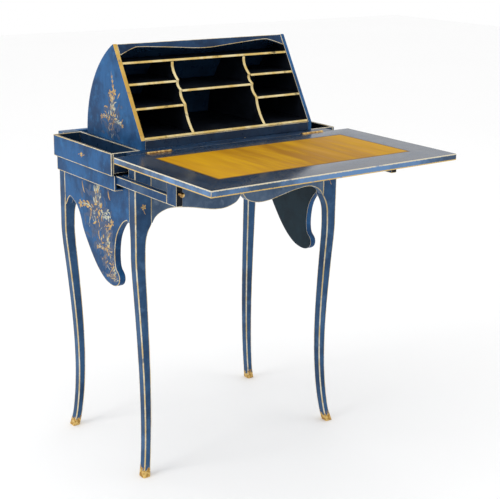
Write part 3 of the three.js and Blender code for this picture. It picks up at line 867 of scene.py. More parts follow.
# ---------------------------------------------------------------- boards
def edge_turns(outline: np.ndarray) -> tuple[np.ndarray, np.ndarray, np.ndarray]:
    """Directions of an outline's edges and the angles between them.

    The angle turned at a corner has the cross product of the two directions as its sine and
    their dot product as its cosine.

    Args:
        outline: closed outline.

    Returns:
        For each corner the direction into it, the direction out of it, and the angle turned.
    """
    out = np.roll(outline, -1, 0) - outline
    out = out / np.linalg.norm(out, axis=1, keepdims=True)
    into = np.roll(out, 1, 0)
    turn = np.arctan2(into[:, 0] * out[:, 1] - into[:, 1] * out[:, 0], (into * out).sum(1))
    return into, out, turn


def end_outline(node: str, axes: np.ndarray) -> tuple[np.ndarray, float, float]:
    """Outline of the flat end of an extruded CAD node.

    The triangles whose corners all lie at the lowest place along the third axis make up
    the end face. Its border is the edges that only one of them has.

    Args:
        node: CAD node.
        axes: three rows: the outline's two directions and the direction of extrusion.

    Returns:
        The outline, anticlockwise, and the lowest and highest place along the third axis.
    """
    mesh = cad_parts[node].data
    mesh.calc_loop_triangles()
    corners = np.zeros(len(mesh.loop_triangles) * 3, np.int32)
    mesh.loop_triangles.foreach_get("vertices", corners)
    points = cad_points(node) @ axes.T
    low, high = points[:, 2].min(), points[:, 2].max()
    keys, same = np.unique(np.round(points / CAD_GRID).astype(np.int64), axis=0,
                           return_inverse=True)
    triangles = same.reshape(-1)[corners].reshape(-1, 3)
    flat = np.all(keys[triangles][:, :, 2] <= keys[:, 2].min() + 2, axis=1)
    triangles = triangles[flat]
    edges = np.concatenate([triangles[:, [0, 1]], triangles[:, [1, 2]], triangles[:, [2, 0]]])
    present = {(int(a), int(b)) for a, b in edges}
    following = {a: b for a, b in present if (b, a) not in present}
    loops = []
    while following:
        start, after = next(iter(following.items()))
        loop = [start]
        while after != start:
            loop.append(after)
            after = following.pop(after)
        following.pop(start, None)
        loops.append(loop)
    outline = keys[max(loops, key=len), :2] * CAD_GRID
    shifted = np.roll(outline, -1, 0)
    if (outline[:, 0] * shifted[:, 1] - outline[:, 1] * shifted[:, 0]).sum() < 0:
        outline = outline[::-1]
    turn = edge_turns(outline)[2]
    return outline[np.abs(turn) > 1e-3], float(low), float(high)


def refined(outline: np.ndarray, passes: int = 2, shortest: float = 2.5 * MM) -> np.ndarray:
    """Outline with its curves made finer.

    A curved edge gets a point at (9 (b + c) - (a + d)) / 16, where b and c are its ends and
    a and d the points before and after them, as a smooth cubic through the four would.

    Args:
        outline: closed outline.
        passes: how many times the edges are halved.
        shortest: edges under this length are left whole.

    Returns:
        The finer outline.
    """
    for _ in range(passes):
        turn = np.abs(edge_turns(outline)[2])
        smooth = (turn < CORNER_ANGLE) & (turn > CURVE_ANGLE)
        ahead = np.roll(outline, -1, 0)
        middle = (9 * (outline + ahead) - (np.roll(outline, 1, 0) + np.roll(outline, -2, 0))) / 16
        curved = smooth & np.roll(smooth, -1)
        long = np.linalg.norm(ahead - outline, axis=1) > shortest
        keep = np.stack([np.ones(len(outline), bool), curved & long], 1).reshape(-1)
        outline = np.stack([outline, middle], 1).reshape(-1, 2)[keep]
    return outline


@dataclass(frozen=True)
class Line:
    """Widths of the gilt line beside an arris, in metres; 0 is no line.

    Attributes:
        face: width on the flat face.
        wall: width on the wall, through the thickness.
    """

    face: float = 0.0
    wall: float = 0.0

    def scaled(self, distance: float, width: float) -> float:
        """Distance as a share of the line's width, or a large number without a line."""
        return distance / width if width else NO_LINE


@dataclass(frozen=True)
class Board:
    """Board cut to an outline: an extruded solid with rounded arrises.

    Its surface is a stack of rings that follow the outline. Each ring has an inset from the
    outline and a place through the thickness: in from one face, round a quarter circle,
    along the wall, round the other quarter circle and in over the other face.

    Attributes:
        outline: closed outline, anticlockwise.
        axes: the outline's two directions and the direction of the thickness, one row each.
        low: place of one face along the third axis.
        high: place of the other face.
        radius: radius of the arrises.
        margin: width of the rings on the faces, which has to hold the gilt line.
        low_line: gilt line beside the low face.
        high_line: gilt line beside the high face.
        lined: mask of the outline points that the line passes, or None for all of them.
        face_slots: material slots of the low and the high face.
    """

    outline: np.ndarray
    axes: np.ndarray
    low: float
    high: float
    radius: float = 0.9 * MM
    margin: float = 5 * MM
    low_line: Line = Line()
    high_line: Line = Line()
    lined: Mask | None = None
    face_slots: tuple[int, int] = (0, 0)

    # Share of its shorter edge that a corner's rounding may use.
    CORNER_SHARE = 0.4
    # Insets that are tried, as shares of the margin, and the slack of the test.
    TRIES = np.linspace(0.04, 1.0, 25)
    SLACK = 0.96
    LEAST = 0.1 * MM
    # The outline's own corners are rounder than the arrises by this factor.
    OUTLINE_ROUNDER = 1.6

    def corner_room(self, turn: np.ndarray) -> np.ndarray:
        """Largest rounding at each corner.

        A circle that touches both edges uses up its radius times the tangent of half the
        turn on each of them.

        Args:
            turn: angle turned at each corner.

        Returns:
            The largest radius at each corner.
        """
        length = np.linalg.norm(np.roll(self.outline, -1, 0) - self.outline, axis=1)
        shorter = np.minimum(length, np.roll(length, 1))
        return self.CORNER_SHARE * shorter / np.maximum(np.abs(np.tan(turn / 2)), 1e-6)

    def room(self, source: np.ndarray, cross: np.ndarray) -> np.ndarray:
        """Largest inset of each ring point at which it meets no other part of the outline.

        A point inset by t fits while its distance to the whole outline is still t.

        Args:
            source: outline corner of each point.
            cross: inward direction of each point, as long as the inset of its edges needs.

        Returns:
            The inset in metres.
        """
        tries = self.TRIES * self.margin
        spots = source + cross * tries[:, None, None]
        edge = np.roll(self.outline, -1, 0) - self.outline
        rel = spots[:, :, None] - self.outline
        share = np.clip((rel * edge).sum(-1) / (edge ** 2).sum(-1), 0, 1)
        away = np.linalg.norm(rel - share[..., None] * edge, axis=-1).min(-1)
        fits = np.logical_and.accumulate(away >= tries[:, None] * self.SLACK, 0)
        return np.maximum(np.where(fits, tries[:, None], 0.0).max(0), self.LEAST)

    def corners(self) -> tuple[np.ndarray, ...]:
        """Rounded outline.

        A corner becomes three points of a circle that touches both its edges.

        Returns:
            The points, their inward directions, the corner that each came from, that
            corner's inward direction to the crossing of the two inset edges, the largest
            inset, and whether the gilt line passes there.
        """
        into, out, turn = edge_turns(self.outline)
        normal_in = np.stack([-into[:, 1], into[:, 0]], 1)
        normal_out = np.stack([-out[:, 1], out[:, 0]], 1)
        opened = np.maximum(1 + (normal_in * normal_out).sum(1), 0.02)
        mitre = (normal_in + normal_out) / opened[:, None]
        unit = mitre / np.linalg.norm(mitre, axis=1, keepdims=True)
        sharp = np.abs(turn) > CORNER_ANGLE
        rounding = np.minimum(self.radius * self.OUTLINE_ROUNDER, self.corner_room(turn))
        curve = (rounding * np.sign(turn))[:, None]
        reach = np.abs(curve * np.tan(turn / 2)[:, None])
        centre = self.outline + unit * curve / np.cos(turn / 2)[:, None]
        trio = np.stack([self.outline - into * reach, centre - unit * curve,
                         self.outline + out * reach], 1)
        inward = np.stack([normal_in, unit, normal_out], 1)
        plain = ~sharp[:, None] & np.array([True, False, True])
        trio[:, 1] = np.where(sharp[:, None], trio[:, 1], self.outline)
        inward[:, 1] = np.where(sharp[:, None], inward[:, 1], mitre)
        keep = ~plain
        source = np.repeat(self.outline[:, None], 3, 1)
        cross = np.repeat(mitre[:, None], 3, 1)
        corner = np.where(turn > 0, self.corner_room(turn), self.margin)
        limit = np.minimum(self.room(self.outline, mitre), corner)
        limit = np.repeat(limit[:, None], 3, 1)
        flag = self.lined(*self.outline.T) if self.lined else np.ones(len(turn), bool)
        edge = flag & np.roll(flag, -1)
        lined = np.stack([np.roll(edge, 1), flag, edge], 1)
        lined[:, 1] = np.where(sharp, edge | np.roll(edge, 1), flag)
        return trio[keep], inward[keep], source[keep], cross[keep], limit[keep], lined[keep]

    def build(self, name: str) -> bpy.types.Object:
        """Builds the board.

        Args:
            name: name of the piece.

        Returns:
            The new piece, with its distance from the gilt line as "line".
        """
        points, inward, source, cross, limit, lined = self.corners()
        thickness = self.high - self.low
        r, half = self.radius, thickness / 2
        wall = min(self.margin, half - self.LEAST)
        bend = r * (1 - math.sqrt(0.5))
        lows, highs = self.low_line, self.high_line
        sections = [
            (self.margin, 0.0, lows.scaled(self.margin, lows.face)),
            (r, 0.0, lows.scaled(r, lows.face) if lows.face else PAST_LINE),
            (bend, bend, 0.0 if lows.face or lows.wall else NO_LINE),
            (0.0, r, lows.scaled(r, lows.wall)),
            (0.0, wall, lows.scaled(wall, lows.wall)),
            (0.0, thickness - wall, highs.scaled(wall, highs.wall)),
            (0.0, thickness - r, highs.scaled(r, highs.wall)),
            (bend, thickness - bend, 0.0 if highs.face or highs.wall else NO_LINE),
            (r, thickness, highs.scaled(r, highs.face) if highs.face else PAST_LINE),
            (self.margin, thickness, highs.scaled(self.margin, highs.face)),
        ]
        near = [np.minimum(inset, limit)[:, None] for inset, _, _ in sections]
        flat = np.stack([source + cross * n if inset > r else points + inward * n
                         for n, (inset, _, _) in zip(near, sections)])
        depth = np.array([self.low + place for _, place, _ in sections])
        line = np.repeat([[value] for _, _, value in sections], len(points), 1)
        line = np.where(lined, line, NO_LINE)
        solid = np.concatenate([flat, np.broadcast_to(depth[:, None, None], (*flat.shape[:2], 1))], -1)
        faces = tube_faces(len(sections), len(points))
        slots = np.zeros(len(faces))
        slots[:len(points)] = slots[-2] = self.face_slots[0]
        slots[-2 - len(points):-2] = slots[-1] = self.face_slots[1]
        return to_object(name, solid.reshape(-1, 3) @ self.axes, faces, {"line": line.reshape(-1)},
                         slots)


def board_from(node: str, axes: np.ndarray, **choices: object) -> Board:
    """Board with the outline and thickness of an extruded CAD node.

    Args:
        node: CAD node.
        axes: the outline's two directions and the direction of extrusion, one row each.
        choices: other fields of the board.

    Returns:
        The board.
    """
    outline, low, high = end_outline(node, axes)
    return Board(refined(outline), axes, low, high, **choices)


# ---------------------------------------------------------------- legs
@dataclass
class Legs:
    """Four cabriole legs with gilt arrises and gilded toes.

    Attributes:
        rings: rings of points from the floor to the head.
        crowding: exponent that sets the rings a little closer at the head.
        radius: radius of the arrises.
        line: width of the gilt line beside an arris.
        margin: width of the strip beside an arris that holds the line.
        toe: height of the gilded toe.
        sole_inset: how far the sole is drawn in, as a share of the way to its middle.
        sole_rise: height of the small bevel round the sole.
        head_inset: how far the ring on top, which has no line, is drawn in.
    """

    rings: int = 110
    crowding: float = 0.9
    radius: float = 1.6 * MM
    line: float = 2.9 * MM
    margin: float = 5 * MM
    toe: float = 27 * MM
    sole_inset: float = 0.06
    sole_rise: float = 0.8 * MM
    head_inset: float = 0.12

    @staticmethod
    def hermite(x: np.ndarray, xs: np.ndarray, ys: np.ndarray) -> np.ndarray:
        """Smooth curve through given points.

        Between two points it is the cubic that meets both values and both slopes, and a
        slope is the difference of the neighbours' values over that of their places.

        Args:
            x: places that are wanted.
            xs: places of the given points, rising.
            ys: values of the given points.

        Returns:
            Values at x.
        """
        slope = np.gradient(ys, xs)
        i = np.clip(np.searchsorted(xs, x) - 1, 0, len(xs) - 2)
        span = xs[i + 1] - xs[i]
        t = (x - xs[i]) / span
        return ((2 * t ** 3 - 3 * t ** 2 + 1) * ys[i] + (t ** 3 - 2 * t ** 2 + t) * span * slope[i]
                + (3 * t ** 2 - 2 * t ** 3) * ys[i + 1] + (t ** 3 - t ** 2) * span * slope[i + 1])

    def section(self) -> tuple[np.ndarray, np.ndarray, np.ndarray]:
        """Cross-section of a leg with unit corners.

        One corner is a quarter circle with a point on each side at the margin. The other
        three are its mirror images.

        Returns:
            For each point the sign of its corner on x and y, its shift from that corner
            in metres, and its distance from the arris as a share of the line's width.
        """
        angles = np.linspace(0, math.pi / 2, 5)
        arc = self.radius * np.stack([np.cos(angles) - 1, np.sin(angles) - 1], 1)
        one = np.concatenate([np.array([[0.0, -self.margin]]), arc, np.array([[-self.margin, 0.0]])])
        far = np.minimum(-one.min(1), self.margin)
        on_arris = far < self.radius * 1.01
        scaled = np.where(on_arris, far * 0.4, far) / self.line
        signs = np.array([[1, 1], [-1, 1], [-1, -1], [1, -1]], float)
        flips = (False, True, False, True)
        shifts = np.stack([(one[::-1] if flip else one) * sign for sign, flip in zip(signs, flips)])
        values = np.stack([scaled[::-1] if flip else scaled for flip in flips])
        return np.repeat(signs, len(one), 0), shifts.reshape(-1, 2), values.reshape(-1)

    @staticmethod
    def drawn_in(ring: np.ndarray, share: float) -> np.ndarray:
        """Level ring of points moved towards its middle.

        Args:
            ring: one ring, as an array of one by points by three.
            share: share of the way to the middle.

        Returns:
            The moved ring.
        """
        moved = ring.copy()
        moved[..., :2] += (ring[:, :, :2].mean(1, keepdims=True) - ring[..., :2]) * share
        return moved

    def build(self, node: str) -> bpy.types.Object:
        """Builds one leg over its CAD node.

        The node is a stack of level rectangles. Their four sides are carried smoothly up
        to the head, which is straight.

        Args:
            node: CAD node.

        Returns:
            The new piece.
        """
        corners = cad_points(node)
        levels, index = np.unique(np.round(corners[:, 2], 5), return_inverse=True)
        index = index.reshape(-1)
        low = np.full((len(levels), 2), np.inf)
        high = np.full((len(levels), 2), -np.inf)
        np.minimum.at(low, index, corners[:, :2])
        np.maximum.at(high, index, corners[:, :2])
        joint, top = levels[-2], levels[-1]
        heights = joint * np.linspace(0, 1, self.rings) ** self.crowding
        sides = [self.hermite(heights, levels[:-1], side[:-1, axis])
                 for side in (low, high) for axis in (0, 1)]
        low_xy = np.append(np.stack(sides[:2], 1), low[-1:], 0)
        high_xy = np.append(np.stack(sides[2:], 1), high[-1:], 0)
        heights = np.append(heights, top)
        signs, shifts, line = self.section()
        corner = np.where(signs[None] > 0, high_xy[:, None], low_xy[:, None])
        flat = corner + shifts[None]
        points = np.concatenate([flat, np.broadcast_to(heights[:, None, None],
                                                       (*flat.shape[:2], 1))], -1)
        sole = self.drawn_in(points[:1], self.sole_inset)
        head = self.drawn_in(points[-1:], self.head_inset)
        points[0, :, 2] += self.sole_rise
        points = np.concatenate([sole, points, head])
        lines = np.broadcast_to(line, points.shape[:2]).copy()
        lines[-1] = NO_LINE
        return to_object(f"painted_{node}", points.reshape(-1, 3),
                         tube_faces(len(points), len(line)), {"line": lines.reshape(-1)})

    def make(self) -> None:
        """Builds and dresses the four legs."""
        paint = replace(BLUE, name="blue paint legs", base=(0.032, 0.092, 0.2),
                        dark=(0.018, 0.05, 0.115), light=(0.08, 0.165, 0.3),
                        toe_height=self.toe, cloud=11.0)
        surface = paint.surface(drawn=True)
        for end in ("front", "back"):
            for side, _ in SIDES:
                node = f"leg_{end}_{side}"
                dress(self.build(node), "case", Slot.BLUE, surface, stands_for=[node])


# ---------------------------------------------------------------- carcass
@dataclass
class Carcass:
    """Apron, back board, side boards, ledge, rail and pivots.

    Attributes:
        edge: width of the gilt line on the boards' faces.
        apron_head: height of the apron and the back board at the top that gets no line.
        side_head: height of the side boards at the top that gets no line.
    """

    edge: float = 3.0 * MM
    apron_head: float = 30 * MM
    side_head: float = 60 * MM

    def cross_boards(self, surface: bpy.types.Material, line: Line) -> None:
        """Builds and dresses the apron and the back board.

        Args:
            surface: paint of the back board.
            line: gilt line on their outer faces.
        """
        # Lighter, greyer copy of the blue paint: painted light on the apron's front face.
        grey = replace(BLUE, name="blue paint apron with painted light", base=(0.095, 0.15, 0.235),
                       dark=(0.055, 0.095, 0.165), light=(0.17, 0.23, 0.31), light_share=0.6)
        for node, low_line, high_line, material in (
                ("front_apron", line, Line(), grey.surface(drawn=True)),
                ("back_board", Line(), line, surface)):
            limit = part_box(node)[1].z - self.apron_head
            board = board_from(node, XZ, low_line=low_line, high_line=high_line,
                               lined=lambda u, v, limit=limit: u < limit)
            dress(board.build(f"painted_{node}"), "case", Slot.BLUE, material, stands_for=[node])

    def side_boards(self, surface: bpy.types.Material, line: Line) -> None:
        """Builds and dresses the two side boards with their hanging scrolls.

        Args:
            surface: paint of their outer faces and edges.
            line: gilt line on their outer faces.
        """
        shade = DARK.surface(drawn=True)
        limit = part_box("side_board_left")[1].z - self.side_head
        inner = Line(0.0, self.edge * 0.5)
        for side, sign in SIDES:
            node = f"side_board_{side}"
            left = sign < 0
            board = board_from(node, YZ, low_line=line if left else inner,
                               high_line=inner if left else line,
                               lined=lambda u, v: v < limit, face_slots=(0, 1) if left else (1, 0))
            dress(board.build(f"painted_{node}"), "case", Slot.BLUE, surface, shade,
                  stands_for=[node])

    def make(self) -> None:
        """Builds and dresses the pieces."""
        surface = replace(BLUE, name="blue paint boards").surface(drawn=True)
        line = Line(self.edge, self.edge * 0.7)
        self.cross_boards(surface, line)
        self.side_boards(surface, line)
        boxed("hinge_ledge", "case", Slot.NAVY, NAVY)
        for node in ("front_cross_rail", "pivot_block_left", "pivot_block_right"):
            piece = softened_copy(node, f"waxed_{node}", 0.8 * MM)
            dress(piece, "case", Slot.BEECH, Wood("beech " + node).surface(), stands_for=[node])
        for side, _ in SIDES:
            repaint(f"nest_pivot_pin_{side}", STEEL.surface())


# ---------------------------------------------------------------- flap
@dataclass
class Flap:
    """Folding top with its golden panel.

    Attributes:
        lines: width of the edge's two gilt lines along each axis.
        rim: width of the panel's darker border along each axis, painted shade along its edge.
    """

    lines: Triple = (1.5 * MM, 1.5 * MM, 4.6 * MM)
    rim: Triple = (3.5 * MM, 3.5 * MM, 0.5 * MM)

    def make(self) -> None:
        """Builds and dresses the pieces."""
        # The flap's upright faces are lighter: partly their own paint, partly painted light matched to
        # the lit front edge.
        polished = replace(NAVY, gilt=(0.66, 0.44, 0.12), pale_gilt=(0.7, 0.63, 0.46),
                           roughness=0.22, edge=(0.1, 0.22, 0.43), cloud=7.0, relief=0.015,
                           gloss=0.45, patches=0.05)
        boxed("flap_board", "flap", Slot.NAVY, polished, self.lines, 0.9 * MM)
        low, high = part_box("writing_panel")
        panel = softened_copy("writing_panel", "shadow_rimmed_writing_panel", 0.4 * MM)
        rim = EdgeLine(tuple(low), tuple(high), self.rim)
        dress(panel, "flap", Slot.PANEL, Leather("golden leather", rim).surface(),
              stands_for=["writing_panel"])


# ---------------------------------------------------------------- hinges
@dataclass
class Hinges:
    """Brass butt hinges with slotted screws.

    Attributes:
        screw: radius of a screw's head.
        inset: distance of the screws from the leaf's far edge.
        slot_depth: depth of a slot.
        around: points round a head.
        places: places of the screws, as shares of the leaf's length from its middle.
        steps: radii of a head's rings, as shares of its radius.
        drop: heights of the rings, in millimetres.
    """

    screw: float = 2.0 * MM
    inset: float = 3.6 * MM
    slot_depth: float = 0.35 * MM
    around: int = 24
    places: tuple[float, ...] = (-0.36, 0.0, 0.36)
    steps: tuple[float, ...] = (1.0, 1.0, 0.82, 0.55, 0.28, 0.02)
    drop: tuple[float, ...] = (-0.9, -0.05, 0.02, 0.06, 0.08, 0.09)

    def head(self) -> np.ndarray:
        """Points of one countersunk screw head.

        The head is a turned disc whose slot is a band of points sunk below the rest: a
        point is lowered where it lies within a fifth of the radius from the slot's middle
        line, y = 0.3 x, measured along y.

        Returns:
            The points in metres, ring by ring from the shank to the middle.
        """
        angle = np.linspace(0, 2 * math.pi, self.around, endpoint=False)
        radius, turn = np.meshgrid(np.array(self.steps) * self.screw, angle, indexing="ij")
        x, y = radius * np.cos(turn), radius * np.sin(turn)
        z = np.broadcast_to((np.array(self.drop) * MM)[:, None], x.shape)
        sunk = (np.abs(y - 0.3 * x) < self.screw / 5) & (radius < self.screw * 0.95)
        return np.stack([x, y, np.where(sunk, z - self.slot_depth, z)], -1).reshape(-1, 3)

    def screws(self, node: str, name: str, body: str) -> None:
        """Row of screw heads along a leaf, level with the lower side of its knuckle.

        Args:
            node: CAD node of the leaf.
            name: name of the piece.
            body: body that it moves with.
        """
        low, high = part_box(node)
        centre_x, span = (low.x + high.x) / 2, high.x - low.x
        y = high.y - self.inset if "ledge" in node else low.y + self.inset
        head = self.head()
        spots = np.array([[centre_x + place * span, y, low.z] for place in self.places])
        points = (spots[:, None] + head[None]).reshape(-1, 3)
        faces = [face for k in range(len(spots))
                 for face in tube_faces(len(self.steps), self.around, k * len(head))]
        dress(to_object(name, points, faces), body, Slot.BRASS, BRASS.surface())

    def make(self) -> None:
        """Dresses the hinges and adds their screws."""
        surface = BRASS.surface()
        for side, _ in SIDES:
            for part, body in (("ledge", "case"), ("flap", "flap")):
                node = f"hinge_leaf_{part}_{side}"
                repaint(node, surface)
                self.screws(node, f"hinge_screws_{part}_{side}", body)
            repaint(f"hinge_pin_{side}", surface)


# ---------------------------------------------------------------- wells
@dataclass
class Wells:
    """Open well and loper housing on each side.

    Attributes:
        line: width of the gilt line.
        end_lines: width of the line on the end walls along each axis.
        cheek_line: width of the line along the top of a cheek.
        housing_line: width of the line on the housing's side walls.
    """

    line: float = 3.0 * MM
    end_lines: Triple = (1.0 * MM, 3.0 * MM, 1.6 * MM)
    cheek_line: float = 1.2 * MM
    housing_line: float = 0.8 * MM

    def make(self) -> None:
        """Builds and dresses the pieces."""
        w = self.line
        for side, sign in SIDES:
            wall_low, wall_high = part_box(f"well_outer_wall_{side}")
            middle = (wall_low.x + wall_high.x) / 2
            outer = replace(BLUE, name="blue paint well", inside=(0, middle, sign))
            boxed(f"well_outer_wall_{side}", "case", Slot.BLUE, outer, (w, w, w))
            boxed(f"well_cheek_{side}", "case", Slot.NAVY, NAVY, (w, w, self.cheek_line),
                  stretch_low=(0, 0, CARRIED))
            for end in ("front", "back"):
                boxed(f"well_{end}_wall_{side}", "case", Slot.NAVY,
                      replace(NAVY, name="navy well end"), self.end_lines)
            # The well floor is near black: painted shade at the bottom of the well.
            boxed(f"well_floor_{side}", "case", Slot.SHADE_BLACK, SHADE_BLACK)
            # The housing has no line along its top and on its inner side.
            low, high = ((CARRIED, 0, 0), (0, 0, CARRIED)) if sign > 0 else (
                (0, 0, 0), (CARRIED, 0, CARRIED))
            boxed(f"loper_housing_{side}", "case", Slot.BLUE, BLUE, (self.housing_line, w, w),
                  stretch_low=low, stretch_high=high)


# ---------------------------------------------------------------- lopers
@dataclass
class Lopers:
    """Sliding supports with their upright heads and turned knobs.

    Attributes:
        line: width of the gilt line.
        head_lines: width of the line on a head along each axis.
        face: depth of a head's front that is painted in the shadow colour: painted shade under the
            flap.
        around: points round a knob.
        foot: distance and radius of the knob's foot ring, as shares of length and radius.
    """

    line: float = 2.8 * MM
    head_lines: Triple = (0.8 * MM, 1.6 * MM, 2.8 * MM)
    face: float = 0.5 * MM
    around: int = 40
    foot: tuple[tuple[float, float], ...] = ((0.0, 0.02), (0.0, 0.62), (0.03, 0.68), (0.07, 0.68),
                                             (0.1, 0.62))

    def knob(self, node: str) -> bpy.types.Object:
        """Turned knob over its CAD node.

        Its profile is a foot ring, a cove, a neck and a flattened ball, as radius against
        the distance from the head, and it turns about an axis along Y.

        Args:
            node: CAD node.

        Returns:
            The new piece.
        """
        low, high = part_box(node)
        radius, length = (high.x - low.x) / 2, high.y - low.y
        cove = np.linspace(0, 1, 7)
        ball = np.linspace(-0.74, 1.0, 18) * math.pi / 2
        neck = np.stack([0.1 + 0.3 * cove, 0.6 - 0.2 * np.sin(cove * math.pi / 2)], 1)
        head = np.stack([0.4 + 0.6 * (np.sin(ball) + 1) / 2, np.maximum(np.cos(ball), 0.02)], 1)
        place, reach = np.concatenate([self.foot, neck, head]).T * [[length], [1.0]]
        angle = np.linspace(0, 2 * math.pi, self.around, endpoint=False)
        rho, turn = np.meshgrid(reach * radius, angle, indexing="ij")
        centre = np.array([(low.x + high.x) / 2, high.y, (low.z + high.z) / 2])
        along = np.broadcast_to(place[:, None], rho.shape)
        points = np.stack([rho * np.cos(turn), -along, rho * np.sin(turn)], -1) + centre
        return to_object(f"turned_{node}", points.reshape(-1, 3),
                         tube_faces(len(reach), self.around))

    def make(self) -> None:
        """Builds and dresses the pieces."""
        grey = replace(BLUE, name="blue paint loper", base=(0.045, 0.095, 0.18),
                       light=(0.11, 0.17, 0.25))
        for side, _ in SIDES:
            body = f"loper_{side}"
            boxed(f"loper_bar_{side}", body, Slot.BLUE, grey, (self.line,) * 3)
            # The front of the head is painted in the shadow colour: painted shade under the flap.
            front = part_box(f"loper_head_{side}")[0].y + self.face
            boxed(f"loper_head_{side}", body, Slot.BLUE, replace(grey, inside=(1, front, 1.0)),
                  self.head_lines)
            knob = self.knob(f"loper_knob_{side}")
            dress(knob, body, Slot.BRASS, BRASS.surface(), stands_for=[f"loper_knob_{side}"])
            repaint(f"loper_stop_pin_{side}", STEEL.surface())
            runner = softened_copy(f"loper_runner_{side}", f"waxed_loper_runner_{side}", 0.5 * MM)
            dress(runner, "case", Slot.BEECH, Wood("beech runner", (1.0, 0.06, 1.0)).surface(),
                  stands_for=[f"loper_runner_{side}"])


# ---------------------------------------------------------------- nest
@dataclass
class Nest:
    """Sector-shaped nest of pigeonholes.

    Attributes:
        gold_edge: width of a gilt line that covers a whole front edge.
        near: how far from the slanted front an edge may be and still be gilded.
        divider_near: the same for a divider, whose front edge is wavy.
        base_lines: width of the line on the base along each axis.
    """

    gold_edge: float = 40 * MM
    near: float = 1.5 * MM
    divider_near: float = 9 * MM
    base_lines: Triple = (0.7 * MM, 1.0 * MM, 1.6 * MM)

    def ridge(self) -> np.ndarray:
        """Highest point of a side, where the slanted front ends."""
        side = cad_points("nest_side_left")
        return side[np.argmax(side[:, 2])]

    def slope_axes(self) -> np.ndarray:
        """Directions of the slanted front.

        The slope starts at the top of the side's upright strip over the base's front and
        ends at the ridge.

        Returns:
            Three rows: across, up the slope and into the nest.
        """
        side = cad_points("nest_side_left")
        strip = side[np.abs(side[:, 1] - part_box("nest_base")[0].y) < 0.05 * MM]
        start = strip[np.argmax(strip[:, 2])]
        up = (self.ridge() - start) * np.array([0, 1, 1])
        up = up / np.linalg.norm(up)
        return np.stack([AXIS[0], up, np.cross(AXIS[0], up)])

    def on_slope(self, up: np.ndarray, near: float) -> Mask:
        """Mask of the outline points, in (y, z), that lie on the slanted front.

        Args:
            up: direction up the slope.
            near: how far from the slope a point may be.

        Returns:
            The mask.
        """
        start = self.ridge()
        normal = np.array([-up[2], up[1]])
        return lambda u, v: np.abs((u - start[1]) * normal[0] + (v - start[2]) * normal[1]) < near

    def sides(self, axes: np.ndarray, shade_black: bpy.types.Material) -> None:
        """Builds and dresses the two sides: the left one has a golden front edge.

        Args:
            axes: directions of the slanted front.
            shade_black: near-black paint of the inner faces, painted shade inside the nest.
        """
        outside = replace(BLUE, name="blue paint nest").surface(drawn=True)
        gold = replace(BLUE, name="blue paint golden edge", gilt=(0.55, 0.34, 0.07),
                       pale_gilt=(0.7, 0.48, 0.14)).surface(drawn=True)
        slanted = self.on_slope(axes[1], self.near)
        golden, fine = Line(0.0, self.gold_edge), Line(1.0 * MM, 1.6 * MM)
        left = board_from("nest_side_left", YZ, low_line=golden, high_line=golden, lined=slanted,
                          face_slots=(0, 1))
        dress(left.build("painted_nest_side_left"), "nest", Slot.BLUE, gold, shade_black,
              stands_for=["nest_side_left"])
        right = board_from("nest_side_right", YZ, low_line=fine, lined=slanted, face_slots=(1, 0))
        dress(right.build("painted_nest_side_right"), "nest", Slot.BLUE, outside, shade_black,
              stands_for=["nest_side_right"])

    def pigeonholes(self, axes: np.ndarray, shade_black: bpy.types.Material) -> None:
        """Builds and dresses the floor, the shelves and the dividers, gilded in front.

        Args:
            axes: directions of the slanted front.
            shade_black: near-black paint of all their faces, painted shade inside the nest.
        """
        gilded = Line(0.0, self.gold_edge)
        nodes = ["nest_floor", "nest_top_shelf", "nest_shelf_centre",
                 "nest_divider_left", "nest_divider_right"]
        nodes += [f"nest_shelf_{side}_{level}" for side, _ in SIDES for level in ("lower", "upper")]
        for node in nodes:
            near = self.divider_near if "divider" in node else self.near
            board = board_from(node, YZ, radius=0.5 * MM, low_line=gilded, high_line=gilded,
                               lined=self.on_slope(axes[1], near), margin=3 * MM)
            dress(board.build(f"gilt_{node}"), "nest", Slot.SHADE_BLACK, shade_black, stands_for=[node])

    def make(self) -> None:
        """Builds and dresses the pieces."""
        axes = self.slope_axes()
        shade_black = replace(SHADE_BLACK, name="ink paint nest").surface(drawn=True)
        self.sides(axes, shade_black)
        shell = board_from("nest_back_shell", YZ, radius=0.6 * MM)
        navy = replace(NAVY, name="navy paint nest").surface(drawn=True)
        dress(shell.build("painted_nest_back_shell"), "nest", Slot.NAVY, navy,
              stands_for=["nest_back_shell"])
        boxed("nest_base", "nest", Slot.NAVY, NAVY, self.base_lines, stretch_low=(0, 0, CARRIED))
        valance = board_from("nest_valance", axes, high_line=Line(2.2 * MM, 2.0 * MM),
                             margin=4 * MM, radius=0.6 * MM)
        deep = replace(BLUE, name="blue paint valance", base=(0.014, 0.045, 0.11),
                       dark=(0.008, 0.022, 0.055), light=(0.03, 0.08, 0.17))
        dress(valance.build("painted_nest_valance"), "nest", Slot.NAVY, deep.surface(drawn=True),
              stands_for=["nest_valance"])
        self.pigeonholes(axes, shade_black)


# ---------------------------------------------------------------- painted sprays
class Tone(Enum):
    """Tones of the brush strokes, as the number that the mesh carries."""

    NAVY = 0.1
    OCHRE = 0.5
    STRAW = 0.9


